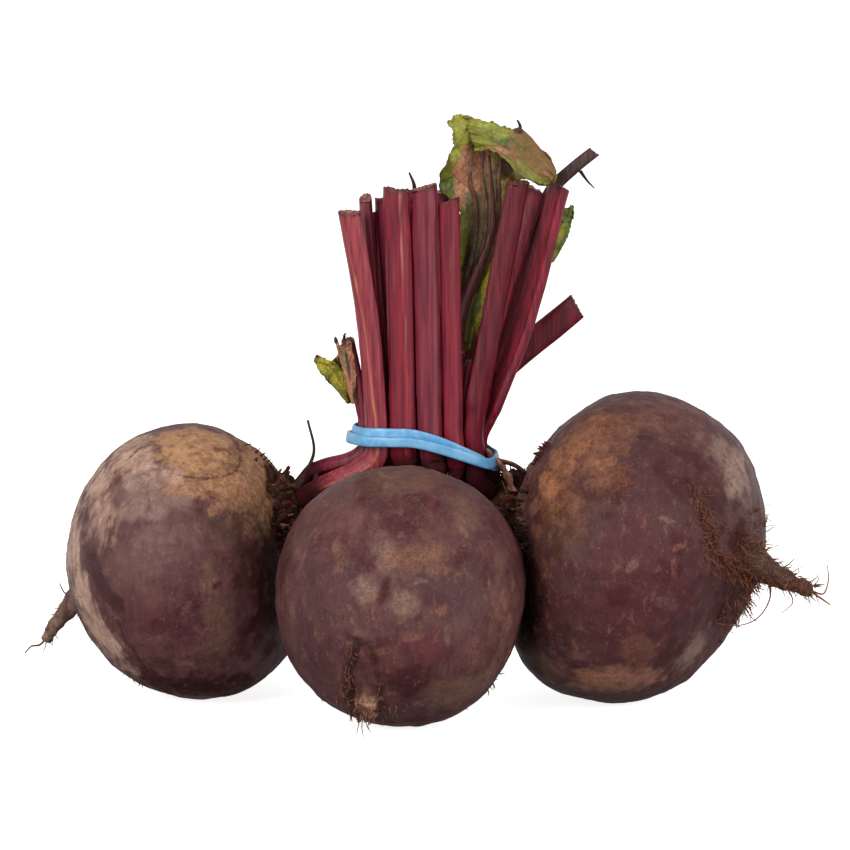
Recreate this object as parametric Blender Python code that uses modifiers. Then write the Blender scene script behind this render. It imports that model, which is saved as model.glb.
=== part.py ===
"""A tied bunch of three beetroots that stands on its roots.

Design values are millimetres. Meshes are built in metres, +Z up, with +X across the bunch
and +Y from its front root towards its back. Each root is a turned globe on a tilted axis, with
a crown, a tail, rootlets and stubs of old stalks joined on. The cut leaf stalks grow from
the crowns, pass through a rubber band wound twice and fan out above it, and three leaf
remnants stay on them.
"""
import math

import bmesh
import bpy
import numpy as np

MM = 0.001
GAP = 0.4
SEED = 11
ORIGIN = np.array((-1.52, -9.46, 0.0))
ROOT_SIDES = 32
GLOBE_RINGS = 21
CROWN_RADIUS = 11.5
CROWN_SIDES = 16
CAP_COSINE = 0.6
SHOULDER_POWER = 2.35
FLAT_WIDTH = 0.55

# Every root: half width of the globe, half length along its axis on the crown's and the
# tail's side, middle, axis towards the crown, tip of the crown, swellings (amount, phase),
# where it is flattened (towards, depth), and its tail as points with radii.
ROOTS = {
    "left": dict(
        across=39.2, along=(31.5, 35.0), middle=(-65.8, 7.5, 38.3), axis=(0.96, -0.18, 0.20),
        crown=(-32.4, 3.2, 56.8), swell=(0.010, 0.4), flat=((0.85, -0.53, 0.0), 1.8),
        tail=((-91.0, 14.6, 30.5, 5.0), (-99.0, 16.2, 26.6, 3.4), (-104.4, 15.2, 20.2, 2.3),
              (-108.9, 14.0, 14.0, 1.4))),
    "front": dict(
        across=34.5, along=(35.0, 35.4), middle=(-6.5, -30.0, 34.6), axis=(0.24, 0.68, 0.69),
        crown=(3.3, -1.8, 60.8), swell=(0.008, 2.1), flat=((0.82, 0.57, 0.1), 2.6),
        tail=((-11.5, -47.0, 16.0, 5.4), (-15.2, -54.0, 9.4, 3.4), (-18.2, -56.2, 5.8, 2.3),
              (-20.0, -57.0, 3.6, 1.5))),
    "right": dict(
        across=43.8, along=(33.4, 37.4), middle=(57.2, -0.5, 43.3), axis=(-0.93, 0.33, 0.22),
        crown=(15.0, 8.6, 54.8), swell=(0.008, 4.4), flat=((-0.91, -0.40, -0.1), 3.8),
        tail=((79.0, -11.4, 43.6, 12.0), (90.6, -16.8, 41.6, 6.6), (98.6, -20.6, 38.6, 3.4),
              (107.1, -24.0, 34.9, 1.7))),
}

# Every cut stalk: its root, where it passes the tie (x, y), where it is cut (x, y, z), its
# width, its thickness, their share left at the cut end, and its colour.
STALKS = {
    "stalk_left_1": ("left", (-13.3, -7.2), (-20.7, -8.5, 138.2), 6.6, 5.2, 1.0, "rose"),
    "stalk_left_2": ("left", (-16.4, -1.4), (-20.9, -1.4, 101.9), 5.8, 4.8, 1.0, "plum"),
    "stalk_left_3": ("left", (-11.3, -1.6), (-15.8, -1.0, 141.6), 6.2, 4.6, 1.0, "plum"),
    "stalk_left_4": ("left", (-12.8, 4.4), (-16.8, 7.5, 137.0), 6.0, 4.6, 1.0, "plum"),
    "stalk_left_5": ("left", (-7.4, 5.0), (-9.8, 8.5, 140.5), 5.8, 4.6, 1.0, "crimson"),
    "stalk_front_1": ("front", (-5.8, -8.4), (-6.9, -9.5, 144.4), 7.4, 5.4, 1.0, "crimson"),
    "stalk_front_2": ("front", (1.4, -8.9), (-1.1, -9.8, 145.0), 6.6, 5.0, 1.0, "plum"),
    "stalk_front_3": ("front", (7.8, -8.0), (6.6, -9.2, 141.2), 5.4, 4.8, 1.0, "crimson"),
    "stalk_front_4": ("front", (-5.0, -2.4), (-11.0, -1.0, 141.4), 5.6, 4.4, 1.0, "plum"),
    "stalk_front_5": ("front", (0.2, -2.8), (3.4, 1.8, 143.0), 5.6, 4.4, 1.0, "plum"),
    "stalk_front_6": ("front", (-1.4, 4.8), (-2.6, 9.0, 143.0), 5.8, 4.6, 1.0, "crimson"),
    "stalk_right_1": ("right", (12.2, -5.2), (25.6, -6.0, 146.2), 6.2, 5.0, 1.0, "plum"),
    "stalk_right_2": ("right", (13.4, 0.6), (37.0, 0.0, 145.0), 6.6, 5.2, 1.0, "crimson"),
    "stalk_right_3": ("right", (8.4, 4.0), (29.6, 6.5, 144.0), 5.6, 4.4, 1.0, "rust"),
    "stalk_right_4": ("right", (4.4, 9.4), (42.9, 12.0, 110.2), 7.4, 5.0, 1.0, "plum"),
    "stalk_broken": ("right", (9.4, -1.6), (12.6, -2.6, 96.5), 4.6, 3.8, 1.0, "crimson"),
    "stalk_withered": ("right", (10.4, 7.8), (47.2, 8.5, 153.8), 4.2, 3.4, 0.75, "withered"),
    "stalk_leafy": ("front", (5.0, -2.8), (17.8, 0.6, 153.0), 4.4, 3.8, 0.6, "plum"),
}
# Points between the tie and the cut end, for the stalks that don't run straight there.
BENDS = {
    "stalk_left_1": ((-15.7, -8.0, 107.5),),
    "stalk_leafy": ((10.4, -0.8, 110.7), (18.6, 0.6, 132.9)),
    "stalk_withered": ((28.6, 7.6, 122.0), (36.4, 8.0, 144.5)),
    "stalk_right_2": ((20.3, 0.6, 88.4), (25.6, 0.5, 101.8)),
    "stalk_right_4": ((12.0, 11.0, 81.0), (18.6, 12.0, 89.0)),
    "stalk_front_4": ((-7.6, -1.8, 105.0),),
}
TIE = dict(centre=(-0.8, -1.4), half=(20.0, 10.0), height=76.0, zone=4.6)
TIE_DROP = dict(start=-5.0, run=24.0, depth=8.6, power=1.5)
STALK_SIDES = 10
STEPS_BELOW, STEPS_TIE, STEPS_ABOVE = 12, 4, 12
SPREAD_ROUNDS = 90
SPREAD_CLEARANCE = 0.5

BAND = dict(tall=4.2, thick=1.1, gap=0.35, steps=96, sides=6)

# Leaf blades: rows from base to tip, each with points from the left edge to the right one,
# as offsets across (x) and back (y) from the middle of the stalk that carries the blade, and
# heights (z).
LEAF_MAIN_ROWS = (
    ((0.4, 3.2, 98.0), (1.4, 3.3, 98.2), (2.6, 3.3, 98.4), (4.2, 3.0, 99.0), (5.6, 2.4, 99.4)),
    ((-0.4, 2.7, 106.5), (0.4, 3.1, 106.8), (1.2, 3.1, 107.0), (3.8, 2.3, 107.6), (6.6, 0.6, 108.0)),
    ((-1.8, 1.6, 116.0), (-1.0, 3.0, 116.0), (0.4, 3.2, 116.5), (3.4, 2.2, 117.0), (6.8, -0.2, 117.5)),
    ((-6.4, -1.0, 127.0), (-3.4, 2.6, 127.0), (0.0, 3.2, 127.5), (3.0, 2.2, 128.0), (5.6, -0.2, 128.5)),
    ((-9.8, -2.6, 138.0), (-5.6, 1.4, 138.0), (0.0, 3.1, 138.0), (3.0, 2.2, 138.5), (4.6, 0.2, 139.0)),
    ((-14.8, -4.4, 144.8), (-7.6, 0.0, 146.2), (0.0, 3.0, 147.0), (4.8, 1.2, 147.4), (9.4, -2.6, 147.0)),
    ((-11.0, -4.8, 152.0), (-6.4, -1.2, 152.5), (0.2, 2.6, 153.8), (7.8, -2.4, 151.6), (16.0, -6.6, 144.8)),
    ((-11.2, -4.4, 158.0), (-6.4, -1.8, 158.4), (-0.4, 0.6, 159.5), (6.8, -3.2, 157.6), (18.4, -6.8, 149.8)),
    ((-9.4, -3.8, 164.8), (-7.4, -2.8, 165.6), (-2.6, -1.6, 163.8), (5.6, -3.6, 161.6), (13.2, -5.6, 157.2)),
)
LEAF_LEFT_ROWS = (
    ((-4.2, -1.4, 84.5), (-4.0, 0.0, 84.5), (-3.7, 1.2, 84.6)),
    ((-8.0, -2.6, 89.5), (-6.4, -0.4, 90.2), (-4.6, 1.2, 91.0)),
    ((-11.0, -3.2, 95.0), (-8.0, -0.6, 95.6), (-4.8, 1.2, 96.0)),
    ((-10.0, -3.0, 98.4), (-6.8, -0.8, 99.6), (-4.2, 1.0, 101.0)),
    ((-8.2, -2.4, 100.6), (-5.4, -1.0, 101.2), (-3.6, 0.8, 103.8)),
)
LEAF_RIGHT_ROWS = (
    ((3.4, 1.4, 123.5), (3.9, 1.9, 123.5), (4.4, 2.4, 123.5)),
    ((3.5, 1.2, 129.0), (5.0, 2.0, 129.2), (6.4, 2.8, 129.5)),
    ((3.6, 1.2, 134.0), (5.2, 2.0, 134.4), (6.6, 3.0, 134.6)),
    ((3.8, 1.4, 138.4), (4.8, 2.2, 139.0), (5.8, 2.8, 139.6)),
)
LEAVES = {
    "leaf_main": dict(stalk="stalk_leafy", thick=0.8, size=(19, 11), ripple=1.0, jag=0.9, waves=5.5,
                      rows=LEAF_MAIN_ROWS),
    "leaf_left": dict(stalk="stalk_left_2", thick=0.8, size=(11, 7), ripple=0.7, jag=1.2, waves=2.5,
                      rows=LEAF_LEFT_ROWS),
    "leaf_right": dict(stalk="stalk_right_2", thick=0.8, size=(9, 5), ripple=0.5, jag=0.5, waves=2.0,
                       rows=LEAF_RIGHT_ROWS),
}

# Thread rootlets, by root: each one's points, the first one inside the root.
THREADS = {
    "left": (((-107.6, 14.2, 16.4), (-110.6, 13.6, 13.2), (-114.4, 13.0, 11.6)),
             ((-98.0, 16.2, 28.4), (-103.4, 15.2, 27.0), (-104.6, 14.6, 30.4)),
             ((-41.6, 3.0, 58.0), (-36.0, 0.2, 64.6), (-32.8, 0.0, 78.6))),
    "front": (((-19.4, -56.6, 4.4), (-21.6, -58.0, 3.2), (-22.6, -58.6, 2.2)),
              ((-17.8, -55.2, 6.0), (-15.0, -58.0, 3.6), (-12.4, -58.6, 2.4))),
    "right": (((105.8, -23.5, 35.4), (109.8, -25.2, 35.6), (110.0, -24.2, 42.4)),
              ((104.4, -23.0, 36.0), (108.6, -26.4, 32.4), (111.4, -26.6, 31.6)),
              ((94.0, -18.0, 39.6), (93.6, -22.0, 32.3), (86.6, -24.0, 25.9),
               (78.0, -23.0, 25.0)),
              ((93.0, -18.0, 39.6), (92.6, -23.6, 35.0), (89.4, -25.6, 31.8))),
}
THREAD_RADIUS = (0.65, 0.35)
RING_HAIRS = {"left": 3, "front": 4, "right": 10}
STUBS = {"left": 11, "front": 9, "right": 12}
STUB_COSINE = 0.76
SEAT_MARGIN = 1.045

SKIN = {
    "left": ((104, 72, 66), 0.62),
    "front": ((100, 64, 61), 0.60),
    "right": ((103, 66, 60), 0.64),
}
TONES = {
    "rose": (161, 86, 90), "crimson": (139, 52, 66), "plum": (112, 48, 62),
    "rust": (126, 74, 66), "withered": (70, 44, 40),
}
LEAF_TONES = {"leaf_main": (122, 104, 50), "leaf_left": (104, 86, 24), "leaf_right": (88, 98, 30)}
BAND_TONE = (100, 170, 222)


def unit(vector):
    """The same direction with length one, for one vector or for rows of them."""
    vector = np.asarray(vector, float)
    return vector / np.maximum(np.linalg.norm(vector, axis=-1, keepdims=True), 1e-9)


def ease(x):
    """Smooth step from 0 to 1."""
    x = np.clip(x, 0.0, 1.0)
    return x * x * (3.0 - 2.0 * x)


def curve(knots, points, at):
    """Points of a smooth curve through the given ones, at places along its knots."""
    knots = np.asarray(knots, float)
    points = np.asarray(points, float)
    at = np.asarray(at, float)
    slope = np.gradient(points, knots, axis=0)
    i = np.clip(np.searchsorted(knots, at, side="right") - 1, 0, len(knots) - 2)
    step = (knots[i + 1] - knots[i])[:, None]
    t = (at - knots[i])[:, None] / step
    rest = 1.0 - t
    return ((1.0 + 2.0 * t) * rest**2 * points[i] + t * rest**2 * step * slope[i]
            + t**2 * (3.0 - 2.0 * t) * points[i + 1] - t**2 * rest * step * slope[i + 1])


def material(name, tone, roughness):
    """A Principled material from an sRGB colour."""
    made = bpy.data.materials.new(name)
    made.use_nodes = True
    shader = made.node_tree.nodes["Principled BSDF"]
    linear = [(c / 255.0 / 12.92) if c <= 10 else ((c / 255.0 + 0.055) / 1.055) ** 2.4 for c in tone]
    shader.inputs["Base Color"].default_value = (*linear, 1.0)
    shader.inputs["Roughness"].default_value = roughness
    shader.inputs["Metallic"].default_value = 0.0
    return made


def add_object(name, mesh, collection):
    """Link a mesh as a named object."""
    made = bpy.data.objects.new(name, mesh)
    collection.objects.link(made)
    return made


def mesh_of(name, points, faces):
    """A mesh from points in millimetres of the design, shaded smooth."""
    mesh = bpy.data.meshes.new(name)
    mesh.from_pydata([tuple((p - ORIGIN) * MM) for p in np.asarray(points)], [], faces)
    mesh.shade_smooth()
    return mesh


def apply_modifiers(made):
    """Give an object the mesh that its modifiers make."""
    graph = bpy.context.evaluated_depsgraph_get()
    mesh = bpy.data.meshes.new_from_object(made.evaluated_get(graph), depsgraph=graph)
    made.modifiers.clear()
    made.data = mesh


def loft(rings, closed):
    """Points and faces of a skin over equal rings, with end caps unless it closes on itself."""
    count, sides, _ = rings.shape
    faces = []
    for i in range(count if closed else count - 1):
        for k in range(sides):
            a, b = i * sides, (i + 1) % count * sides
            faces.append((a + k, a + (k + 1) % sides, b + (k + 1) % sides, b + k))
    if not closed:
        faces.append(tuple(range(sides - 1, -1, -1)))
        faces.append(tuple(range((count - 1) * sides, count * sides)))
    return rings.reshape(-1, 3), faces


# Roots


def crown_middle(root):
    """Middle of the ball whose outer half is the root's crown, and the way it points."""
    ahead = unit(np.array(root["crown"]) - root["middle"])
    return np.array(root["crown"]) - CROWN_RADIUS * ahead, ahead


def globe_radius(root, s):
    """Radius of the globe at distance s along its axis, fuller towards the crown."""
    half = np.where(s > 0.0, *root["along"])
    power = np.where(s > 0.0, SHOULDER_POWER, 2.0)
    share = 1.0 - np.clip(np.abs(s) / half, 0.0, 1.0) ** power
    return root["across"] * np.clip(share, 0.0, 1.0) ** 0.48


def globe_frame(root):
    """The globe's axis and two directions across it."""
    axis = unit(root["axis"])
    side = np.array((0.0, 1.0, 0.0)) if abs(axis[0]) > 0.5 else np.array((1.0, 0.0, 0.0))
    first = unit(side - (axis @ side) * axis)
    return axis, first, np.cross(axis, first)


def uneven(root, points):
    """Gentle swellings of a globe, and the flat where it leans on its neighbour."""
    middle = np.array(root["middle"])
    out = unit(points - middle)
    amount, phase = root["swell"]
    waves = (np.sin(3.1 * out[:, 0] + 2.3 * out[:, 2] + phase)
             + 0.7 * np.sin(4.3 * out[:, 1] - 3.7 * out[:, 2] + 2.0 * phase)
             + 0.5 * np.sin(6.1 * out[:, 0] + 5.2 * out[:, 1] + 3.0 * phase))
    towards, depth = root["flat"]
    gap = np.arccos(np.clip(out @ unit(towards), -1.0, 1.0))
    inward = depth * np.exp(-((gap / FLAT_WIDTH) ** 2))
    return points + (points - middle) * (amount * waves)[:, None] - out * inward[:, None]


def turned_globe(name, root, collection):
    """The turned globe on its tilted axis, unevened and triangulated."""
    tail, crown = -root["along"][1], root["along"][0]
    heights = np.where(np.arange(GLOBE_RINGS) < GLOBE_RINGS // 2, crown, -tail)
    heights = heights * np.cos(np.linspace(0.0, np.pi, GLOBE_RINGS))
    radii = globe_radius(root, heights)
    outline = [(r * MM, 0.0, s * MM) for r, s in zip(radii, heights)]
    mesh = bpy.data.meshes.new(name)
    mesh.from_pydata(outline, [(i, i + 1) for i in range(len(outline) - 1)], [])
    made = add_object(name, mesh, collection)
    screw = made.modifiers.new("turn", "SCREW")
    screw.axis = "Z"
    screw.steps = ROOT_SIDES
    screw.render_steps = ROOT_SIDES
    screw.use_merge_vertices = True
    screw.merge_threshold = 0.00001
    apply_modifiers(made)
    flat = np.empty(len(made.data.vertices) * 3)
    made.data.vertices.foreach_get("co", flat)
    x, y, s = (flat.reshape(-1, 3) / MM).T
    axis, first, second = globe_frame(root)
    placed = np.array(root["middle"]) + np.outer(s, axis) + np.outer(x, first) + np.outer(y, second)
    made.data.vertices.foreach_set("co", ((uneven(root, placed) - ORIGIN) * MM).ravel())
    work = bmesh.new()
    work.from_mesh(made.data)
    bmesh.ops.triangulate(work, faces=work.faces)
    work.to_mesh(made.data)
    work.free()
    return made


def crown_knob(name, root, collection):
    """The ball that the stalks grow from."""
    middle, _ = crown_middle(root)
    bpy.ops.mesh.primitive_uv_sphere_add(segments=CROWN_SIDES, ring_count=CROWN_SIDES // 2,
                                         radius=CROWN_RADIUS * MM, location=(middle - ORIGIN) * MM)
    made = bpy.context.object
    made.name = name
    for old in list(made.users_collection):
        old.objects.unlink(made)
    collection.objects.link(made)


def thread(name, points, radii, collection, roundness=0):
    """A tapered tail, rootlet or stub as a closed mesh."""
    line = bpy.data.curves.new(name, "CURVE")
    line.dimensions = "3D"
    line.bevel_depth = MM
    line.bevel_resolution = roundness
    line.use_fill_caps = True
    spline = line.splines.new("POLY")
    spline.points.add(len(points) - 1)
    for i, point in enumerate(points):
        spline.points[i].co = (*((np.asarray(point) - ORIGIN) * MM), 1.0)
        spline.points[i].radius = radii[i]
    made = add_object(name, line, collection)
    graph = bpy.context.evaluated_depsgraph_get()
    mesh = bpy.data.meshes.new_from_object(made.evaluated_get(graph), depsgraph=graph)
    work = bmesh.new()
    work.from_mesh(mesh)
    bmesh.ops.remove_doubles(work, verts=work.verts, dist=0.00001)
    bmesh.ops.recalc_face_normals(work, faces=work.faces)
    work.to_mesh(mesh)
    work.free()
    solid = add_object(name + "_solid", mesh, collection)
    solid.matrix_world = made.matrix_world.copy()
    bpy.data.objects.remove(made)
    return solid


def on_globe(root, way, lift):
    """A point lift above a globe's skin, seen that way from the globe's middle."""
    axis, _, _ = globe_frame(root)
    way = unit(way)
    reach = np.linspace(0.5, 1.2, 141) * root["across"]
    inside = globe_radius(root, reach * (way @ axis)) > reach * np.sqrt(1.0 - (way @ axis) ** 2)
    skin = uneven(root, np.array(root["middle"]) + reach[inside][-1:, None] * way)[0]
    return skin + lift * way


def round_about(ahead, turn):
    """The direction across another one, at an angle round it."""
    side = unit(np.cross(ahead, (0.3, 0.5, 0.8)))
    return math.cos(turn) * side + math.sin(turn) * np.cross(ahead, side)


def ring_hairs(name, root, collection, draw):
    """Short rootlets in a ring round the base of the tail."""
    tail = np.array(root["tail"])[:, :3]
    ahead = unit(tail[1] - np.array(root["middle"]))
    for i in range(RING_HAIRS[name]):
        turn = 2.0 * math.pi * (i + draw.uniform(-0.3, 0.3)) / RING_HAIRS[name]
        out = unit(ahead + draw.uniform(0.16, 0.28) * round_about(ahead, turn))
        inside = on_globe(root, out, -1.6)
        lean = unit(out + draw.uniform(0.2, 0.8) * round_about(ahead, turn))
        length = draw.uniform(4.0, 6.5)
        droop = np.array((0.0, 0.0, -0.3 * length))
        points = (inside, inside + lean * 0.55 * length, inside + lean * length + droop)
        if min(p[2] for p in points) > 1.5:
            thread(f"{name}_hair_{i}", points, (0.65, 0.5, 0.35), collection)


def crown_stubs(name, root, aims, collection, draw):
    """Cut and withered stalk bases round the crown's rim, where no stalk stands over them."""
    middle, ahead = crown_middle(root)
    for i in range(STUBS[name]):
        turn = 2.0 * math.pi * (i + draw.uniform(-0.25, 0.25)) / STUBS[name]
        out = unit(round_about(ahead, turn) + draw.uniform(-0.05, 0.25) * ahead)
        lean = unit(out + draw.uniform(0.1, 0.5) * ahead)
        inside = middle + out * (CROWN_RADIUS - 3.0)
        tip = inside + lean * draw.uniform(5.6, 8.4)
        if (aims @ unit(tip - middle)).max() < STUB_COSINE:
            thread(f"{name}_stub_{i}", (inside, tip), (2.2, draw.uniform(0.8, 1.5)), collection)


def join(made, extras):
    """Fuse a collection's solids into one object, and remove them."""
    union = made.modifiers.new("join", "BOOLEAN")
    union.operation = "UNION"
    union.operand_type = "COLLECTION"
    union.collection = extras
    union.solver = "EXACT"
    apply_modifiers(made)
    for extra in list(extras.objects):
        bpy.data.objects.remove(extra)
    bpy.data.collections.remove(extras)


def cut_flat(made):
    """Cut an object flat at the ground, where it rests."""
    work = bmesh.new()
    work.from_mesh(made.data)
    everything = work.verts[:] + work.edges[:] + work.faces[:]
    cut = bmesh.ops.bisect_plane(work, geom=everything, dist=0.000001, plane_co=(0, 0, 0),
                                 plane_no=(0, 0, -1), clear_outer=True)
    rim = [e for e in cut["geom_cut"] if isinstance(e, bmesh.types.BMEdge)]
    bmesh.ops.edgeloop_fill(work, edges=rim)
    bmesh.ops.triangulate(work, faces=[f for f in work.faces if len(f.verts) > 4])
    bmesh.ops.recalc_face_normals(work, faces=work.faces)
    work.to_mesh(made.data)
    work.free()


def make_root(name, aims, parts):
    """One root with its rootlets and crown stubs, flat where it rests."""
    root = ROOTS[name]
    draw = np.random.default_rng(SEED + len(name))
    made = turned_globe("root_" + name, root, parts)
    extras = bpy.data.collections.new(name + "_details")
    bpy.context.scene.collection.children.link(extras)
    crown_knob(name + "_crown", root, extras)
    tail = np.array(root["tail"])
    thread(name + "_tail", tail[:, :3], tail[:, 3], extras, roundness=3)
    for i, points in enumerate(THREADS[name]):
        radii = np.linspace(*THREAD_RADIUS, len(points))
        thread(f"{name}_thread_{i}", points, radii, extras)
    ring_hairs(name, root, extras, draw)
    crown_stubs(name, root, aims, extras, draw)
    join(made, extras)
    cut_flat(made)
    made.data.shade_smooth()
    tone, roughness = SKIN[name]
    made.data.materials.append(material("skin_" + name, tone, roughness))
    return made


# Stalks


def tie_height(x):
    """Height of the band's middle line across the bunch: level, then falling to the right."""
    fall = np.clip((np.asarray(x, float) - TIE_DROP["start"]) / TIE_DROP["run"], 0.0, 1.0)
    return TIE["height"] - TIE_DROP["depth"] * fall ** TIE_DROP["power"]


def seat_directions():
    """Where each stalk leaves its crown, spread so that the bases clear one another."""
    seats = {}
    for key, root in ROOTS.items():
        names = [n for n, row in STALKS.items() if row[0] == key]
        middle, ahead = crown_middle(root)
        slots = np.array([(*STALKS[n][1], tie_height(STALKS[n][1][0])) for n in names])
        aims = unit(unit(slots - middle) + 0.5 * ahead)
        need = np.array([(STALKS[n][3] * 0.37 + STALKS[n][4] * 0.45) for n in names])
        need = (need[:, None] + need[None] + 2.0 * GAP) * 0.5 / (CROWN_RADIUS + GAP)
        for _ in range(300):
            angle = np.arccos(np.clip(aims @ aims.T, -1.0, 1.0)) + 9.0 * np.eye(len(names))
            push = np.clip(need - angle, 0.0, None)[..., None]
            away = unit(aims[:, None] - aims[None])
            steep = np.clip(CAP_COSINE - aims @ ahead, 0.0, None)[:, None]
            aims = unit(aims + 0.25 * (push * away).sum(axis=1) + steep * ahead)
        seats.update({n: (seat_point(root, middle, aim, 0.5 * STALKS[n][3]), aim)
                      for n, aim in zip(names, aims)})
    return seats


def seat_point(root, middle, aim, reach):
    """Where a stalk's end stands over the crown, clear of the ball and the globe."""
    axis, _, _ = globe_frame(root)
    rim = np.array([reach * round_about(aim, turn) for turn in np.linspace(0.0, 2.0 * np.pi, 13)])
    for lift in np.arange(0.0, 12.0, 0.25):
        seat = middle + aim * (CROWN_RADIUS + GAP + lift)
        offset = seat + rim - root["middle"]
        along = offset @ axis
        beside = np.linalg.norm(offset - np.outer(along, axis), axis=1)
        if (beside > globe_radius(root, along) * SEAT_MARGIN).all():
            break
    return seat


def first_routes(seats):
    """Centre lines from crown to cut end, before they are pushed apart."""
    routes = {}
    for name, row in STALKS.items():
        slot, end = row[1:3]
        seat, aim = seats[name]
        level = tie_height(slot[0])
        low = np.array((*slot, level - TIE["zone"]))
        high = np.array((*slot, level + TIE["zone"]))
        reach = 0.2 * np.linalg.norm(low - seat)
        below = np.array((seat, seat + aim * reach, low, high))
        knots = np.concatenate(([0.0], np.cumsum(np.linalg.norm(np.diff(below, axis=0), axis=1))))
        lower = curve(knots, below, np.linspace(0.0, knots[2], STEPS_BELOW, endpoint=False))
        tied = low + np.linspace(0.0, 1.0, STEPS_TIE)[:, None] * (high - low)
        above = np.array((high, *BENDS.get(name, ()), end))
        knots = np.concatenate(([0.0], np.cumsum(np.linalg.norm(np.diff(above, axis=0), axis=1))))
        upper = curve(knots, above, np.linspace(0.0, knots[-1], STEPS_ABOVE + 1)[1:])
        routes[name] = np.concatenate((lower, tied, upper))
    return routes


def facing_of(routes):
    """The way each stalk's rounded back faces, along its route: outwards at the tie."""
    faces = {}
    centre = np.array((*TIE["centre"], 0.0))
    half = np.array((*TIE["half"], 1.0))
    tied = STEPS_BELOW + 1
    for name, route in routes.items():
        ahead = unit(np.gradient(route, axis=0))
        outward = (np.array((*STALKS[name][1], 0.0)) - centre) / half**2
        face = np.zeros_like(route)
        face[tied] = unit(outward - (outward @ ahead[tied]) * ahead[tied])
        for order in (range(tied + 1, len(route)), range(tied - 1, -1, -1)):
            last = face[tied]
            for i in order:
                last = unit(last - (last @ ahead[i]) * ahead[i])
                face[i] = last
        faces[name] = (face, np.cross(ahead, face))
    return faces


def stalk_sizes(name):
    """Half width and half thickness along a stalk, narrower at the crown and near the cut."""
    width, thick, left = STALKS[name][3:6]
    step = np.arange(STEPS_BELOW + STEPS_TIE + STEPS_ABOVE)
    grown = 0.84 + 0.16 * ease(step / STEPS_BELOW)
    taper = 1.0 - (1.0 - left) * np.clip((step - STEPS_BELOW - STEPS_TIE) / STEPS_ABOVE, 0.0, 1.0)
    return 0.5 * width * grown * taper, 0.5 * thick * (0.5 + 0.5 * grown) * taper


def spread(routes):
    """Push neighbouring stalks apart until their sections clear one another."""
    names = list(routes)
    points = np.array([routes[n] for n in names])
    halves = np.array([stalk_sizes(n) for n in names])
    count, steps, _ = points.shape
    hold = np.clip((np.arange(steps) - 2.0) / 3.0, 0.0, 1.0)[:, None]
    hold[-1] = 0.5
    for _ in range(SPREAD_ROUNDS):
        frames = facing_of(dict(zip(names, points)))
        face = np.array([frames[n][0] for n in names])
        wide = np.array([frames[n][1] for n in names])
        ahead = unit(np.gradient(points, axis=1))
        move = np.zeros_like(points)
        for i in range(count):
            for j in range(count):
                if i == j:
                    continue
                offset = points[i][:, None] - points[j][None]
                near = np.argmin((offset**2).sum(-1), axis=1)
                offset = offset[np.arange(steps), near]
                slide = (offset * ahead[i]).sum(-1)
                away = offset - slide[:, None] * ahead[i]
                distance = np.linalg.norm(away, axis=1)
                way = away / np.maximum(distance, 1e-6)[:, None]
                need = SPREAD_CLEARANCE
                for k, at in ((i, np.arange(steps)), (j, near)):
                    need = need + np.hypot((way * wide[k][at]).sum(-1) * halves[k][0][at],
                                           (way * face[k][at]).sum(-1) * halves[k][1][at])
                push = np.where(np.abs(slide) < 4.0, np.clip(need - distance, 0.0, 1.5), 0.0)
                move[i] += 0.35 * push[:, None] * way
        for _ in range(2):
            move[:, 1:-1] = 0.25 * move[:, :-2] + 0.5 * move[:, 1:-1] + 0.25 * move[:, 2:]
        points = points + move * hold
    return dict(zip(names, points))


def stalk_rings(route, frame, halves, sides, keep):
    """Sections of a stalk: a rounded back and a flatter front with a shallow channel."""
    turn = 2.0 * np.pi * (np.arange(sides, 0, -1) - 0.5) / sides
    depth = np.where(np.sin(turn) > 0.0, np.sin(turn), 0.72 * np.sin(turn) + 0.2 * np.sin(turn) ** 4)
    face, wide = frame
    rings = (route[:, None] + (halves[0][:, None] * np.cos(turn))[..., None] * wide[:, None]
             + (halves[1][:, None] * depth)[..., None] * face[:, None])
    return rings[keep]


def make_stalks(seats, parts):
    """All cut stalks. Gives back their routes and frames."""
    routes = spread(first_routes(seats))
    frames = facing_of(routes)
    tones = {n: material("stalk_" + n, tone, 0.45) for n, tone in TONES.items()}
    keep = [*range(0, STEPS_BELOW, 2), *range(STEPS_BELOW, STEPS_BELOW + STEPS_TIE)]
    keep += range(STEPS_BELOW + STEPS_TIE + 1, STEPS_BELOW + STEPS_TIE + STEPS_ABOVE, 2)
    for name, route in routes.items():
        rings = stalk_rings(route, frames[name], stalk_sizes(name), STALK_SIDES, keep)
        points, faces = loft(rings, closed=False)
        made = add_object(name, mesh_of(name, points, faces), parts)
        made.data.materials.append(tones[STALKS[name][6]])
    return routes, frames


# Rubber band


def band_lift(turn):
    """Height of the doubled band above or below its middle line."""
    reach = 1.95 + 0.6 * np.cos(turn) + 0.5 * np.sin(turn)
    return reach * np.cos(0.5 * turn - np.pi / 4.0)


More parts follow.
